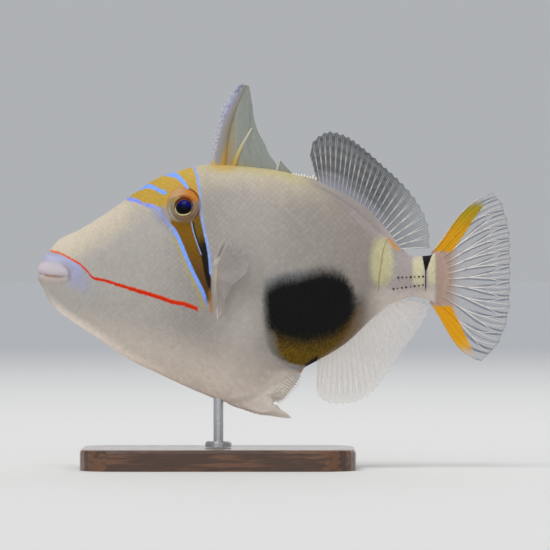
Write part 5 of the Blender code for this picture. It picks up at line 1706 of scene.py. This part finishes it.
def dress_stand():
    """Oiled dark wood for the base and brushed steel for the rod."""
    paint = Paint("stand_wood", 0.38, Coat_Weight=0.3, Coat_Roughness=0.18)
    grain = paint.noise(1.6, 5, (14, 1, 1), 0.62)
    rings = ((paint.y * 0.55 + grain * 5.5 + paint.noise(24, 2, (2, 1, 1)) * 6) * 2.2).sine().rise(-1, 1)
    pores = paint.noise(0.32, 2, (22, 1, 1)).rise(0.56, 0.72)
    base = paint.layers(tone(70, 43, 27), (rings, tone(108, 70, 44)), (pores * 0.6, tone(38, 23, 15)))
    wood = paint.finish(base, roughness=0.3 + pores * 0.25, height=grain - pores * 0.6, bump=0.00015)
    paint = Paint("stand_steel", 0.28, Metallic=1.0)
    brushed = paint.noise(0.25, 3, (12, 12, 1))
    base = paint.mix(brushed * 0.5, tone(196, 197, 200), tone(150, 151, 155))
    steel = paint.finish(base, roughness=0.2 + brushed * 0.2, height=brushed, bump=0.00004, strength=0.4)
    for node, look in (("stand_base", wood), ("stand_rod", steel)):
        data = frame["nodes"][node].data
        data.materials.clear()
        data.materials.append(look)


SHARED = {}


def shared_skin():
    """The one skin that all pieces follow, made when it is first asked for."""
    if "skin" not in SHARED:
        SHARED["skin"] = Skin()
    return SHARED["skin"]


class FISH_OT_skin(bpy.types.Operator):
    """Make the skin of head, body, lips, belly flap and eye rims as one piece"""
    bl_idname = "fish.skin"
    bl_label = "Skin"

    def execute(self, context):
        make_skin(shared_skin(), skin_paint(context.scene.fish_colours))
        return {"FINISHED"}


class FISH_OT_scales(bpy.types.Operator):
    """Cover the skin with small plates in slanting rows, and add the scutes behind the gill"""
    bl_idname = "fish.scales"
    bl_label = "Scales"

    def execute(self, context):
        look = scale_paint(context.scene.fish_colours)
        make_scales(shared_skin(), look, context.scene.fish_sizes)
        make_scutes(shared_skin(), bpy.data.materials["fish_skin"])
        return {"FINISHED"}


class FISH_OT_eyes(bpy.types.Operator):
    """Make both eyes"""
    bl_idname = "fish.eyes"
    bl_label = "Eyes"

    def execute(self, context):
        sizes = context.scene.fish_sizes
        make_eyes(eye_paint(sizes), sizes)
        return {"FINISHED"}


class FISH_OT_spiny_fin(bpy.types.Operator):
    """Make the three dorsal spines and their web"""
    bl_idname = "fish.spiny_fin"
    bl_label = "Spiny dorsal fin"

    def execute(self, context):
        make_spiny_fin(context.scene.fish_colours, context.scene.fish_sizes)
        return {"FINISHED"}


class FISH_OT_soft_fins(bpy.types.Operator):
    """Make the soft dorsal, anal, tail and side fins, each with its web and rays"""
    bl_idname = "fish.soft_fins"
    bl_label = "Soft fins"

    def execute(self, context):
        hues, sizes = context.scene.fish_colours, context.scene.fish_sizes
        make_soft_fins(hues, sizes)
        make_tail_fin(hues, sizes)
        make_side_fins(hues, sizes)
        return {"FINISHED"}


class FISH_OT_small_spines(bpy.types.Operator):
    """Make the spines of the belly flap and of the tail stalk"""
    bl_idname = "fish.small_spines"
    bl_label = "Small spines"

    def execute(self, context):
        make_flap_spines(shared_skin())
        make_stalk_spines(shared_skin())
        make_ridge_tips()
        return {"FINISHED"}


class FISH_OT_stand(bpy.types.Operator):
    """Give the stand its wood and its steel"""
    bl_idname = "fish.stand"
    bl_label = "Stand"

    def execute(self, context):
        dress_stand()
        return {"FINISHED"}


class FISH_OT_stage(bpy.types.Operator):
    """Set up the floor, the lights and the camera"""
    bl_idname = "fish.stage"
    bl_label = "Stage"

    def execute(self, context):
        settings, scene = context.scene.fish_stage, context.scene
        mesh = bmesh.new()
        bmesh.ops.create_circle(mesh, cap_ends=True, segments=96, radius=FLOOR_RADIUS)
        data = bpy.data.meshes.new("floor")
        mesh.to_mesh(data)
        mesh.free()
        floor = bpy.data.objects.new("floor", data)
        scene.collection.objects.link(floor)
        paint = Paint("floor", 0.8)
        away = ((paint.x - 90).power(2.0) + paint.y.power(2.0)).power(0.5)
        base = paint.mix(away.rise(*FLOOR_FADE), tuple(settings.floor), tuple(settings.far))
        data.materials.append(paint.finish(base))

        scene.world = scene.world or bpy.data.worlds.new("surround")
        scene.world.use_nodes = True
        backdrop = scene.world.node_tree.nodes["Background"]
        backdrop.inputs["Color"].default_value = SKY_COLOUR
        backdrop.inputs["Strength"].default_value = settings.sky
        for name, (way, wide) in LAMPS.items():
            light = bpy.data.lights.new(name, "SUN")
            light.angle = math.radians(wide)
            light.energy = settings.key if name == "key" else settings.fill
            lamp = bpy.data.objects.new(name, light)
            lamp.location = Vector(way)
            lamp.rotation_euler = (-Vector(way)).to_track_quat("-Z", "Y").to_euler()
            scene.collection.objects.link(lamp)

        camera = bpy.data.objects.new("camera", bpy.data.cameras.new("camera"))
        camera.data.sensor_width = SENSOR
        camera.data.lens = SENSOR * settings.distance / settings.across
        camera.data.clip_start, camera.data.clip_end = CAMERA_CLIP
        camera.location = (CAMERA_X, -settings.distance, settings.camera_height)
        camera.rotation_euler = (math.radians(90), 0, 0)
        scene.collection.objects.link(camera)
        scene.camera = camera
        scene.view_settings.view_transform = "Standard"
        return {"FINISHED"}


class FISH_PT_panel(bpy.types.Panel):
    bl_idname = "FISH_PT_panel"
    bl_label = "Triggerfish"
    bl_space_type = "VIEW_3D"
    bl_region_type = "UI"
    bl_category = "Fish"

    def draw(self, context):
        for operator in OPERATORS:
            self.layout.operator(operator.bl_idname)
        for group in (context.scene.fish_sizes, context.scene.fish_colours, context.scene.fish_stage):
            box = self.layout.box()
            for name in group.bl_rna.properties.keys():
                if name not in ("rna_type", "name"):
                    box.prop(group, name)


GROUPS = {"fish_sizes": FishSizes, "fish_colours": FishColours, "fish_stage": StageSettings}
OPERATORS = (
    FISH_OT_skin, FISH_OT_scales, FISH_OT_eyes, FISH_OT_spiny_fin, FISH_OT_soft_fins, FISH_OT_small_spines,
    FISH_OT_stand, FISH_OT_stage)


def register():
    for kind in (*GROUPS.values(), *OPERATORS, FISH_PT_panel):
        bpy.utils.register_class(kind)
    for name, group in GROUPS.items():
        setattr(bpy.types.Scene, name, PointerProperty(type=group))


def unregister():
    for name in GROUPS:
        delattr(bpy.types.Scene, name)
    for kind in reversed((*GROUPS.values(), *OPERATORS, FISH_PT_panel)):
        bpy.utils.unregister_class(kind)


def main():
    register()
    bpy.ops.fish.skin()
    bpy.ops.fish.scales()
    bpy.ops.fish.eyes()
    bpy.ops.fish.spiny_fin()
    bpy.ops.fish.soft_fins()
    bpy.ops.fish.small_spines()
    bpy.ops.fish.stand()
    bpy.ops.fish.stage()


if __name__ == "__main__":
    main()
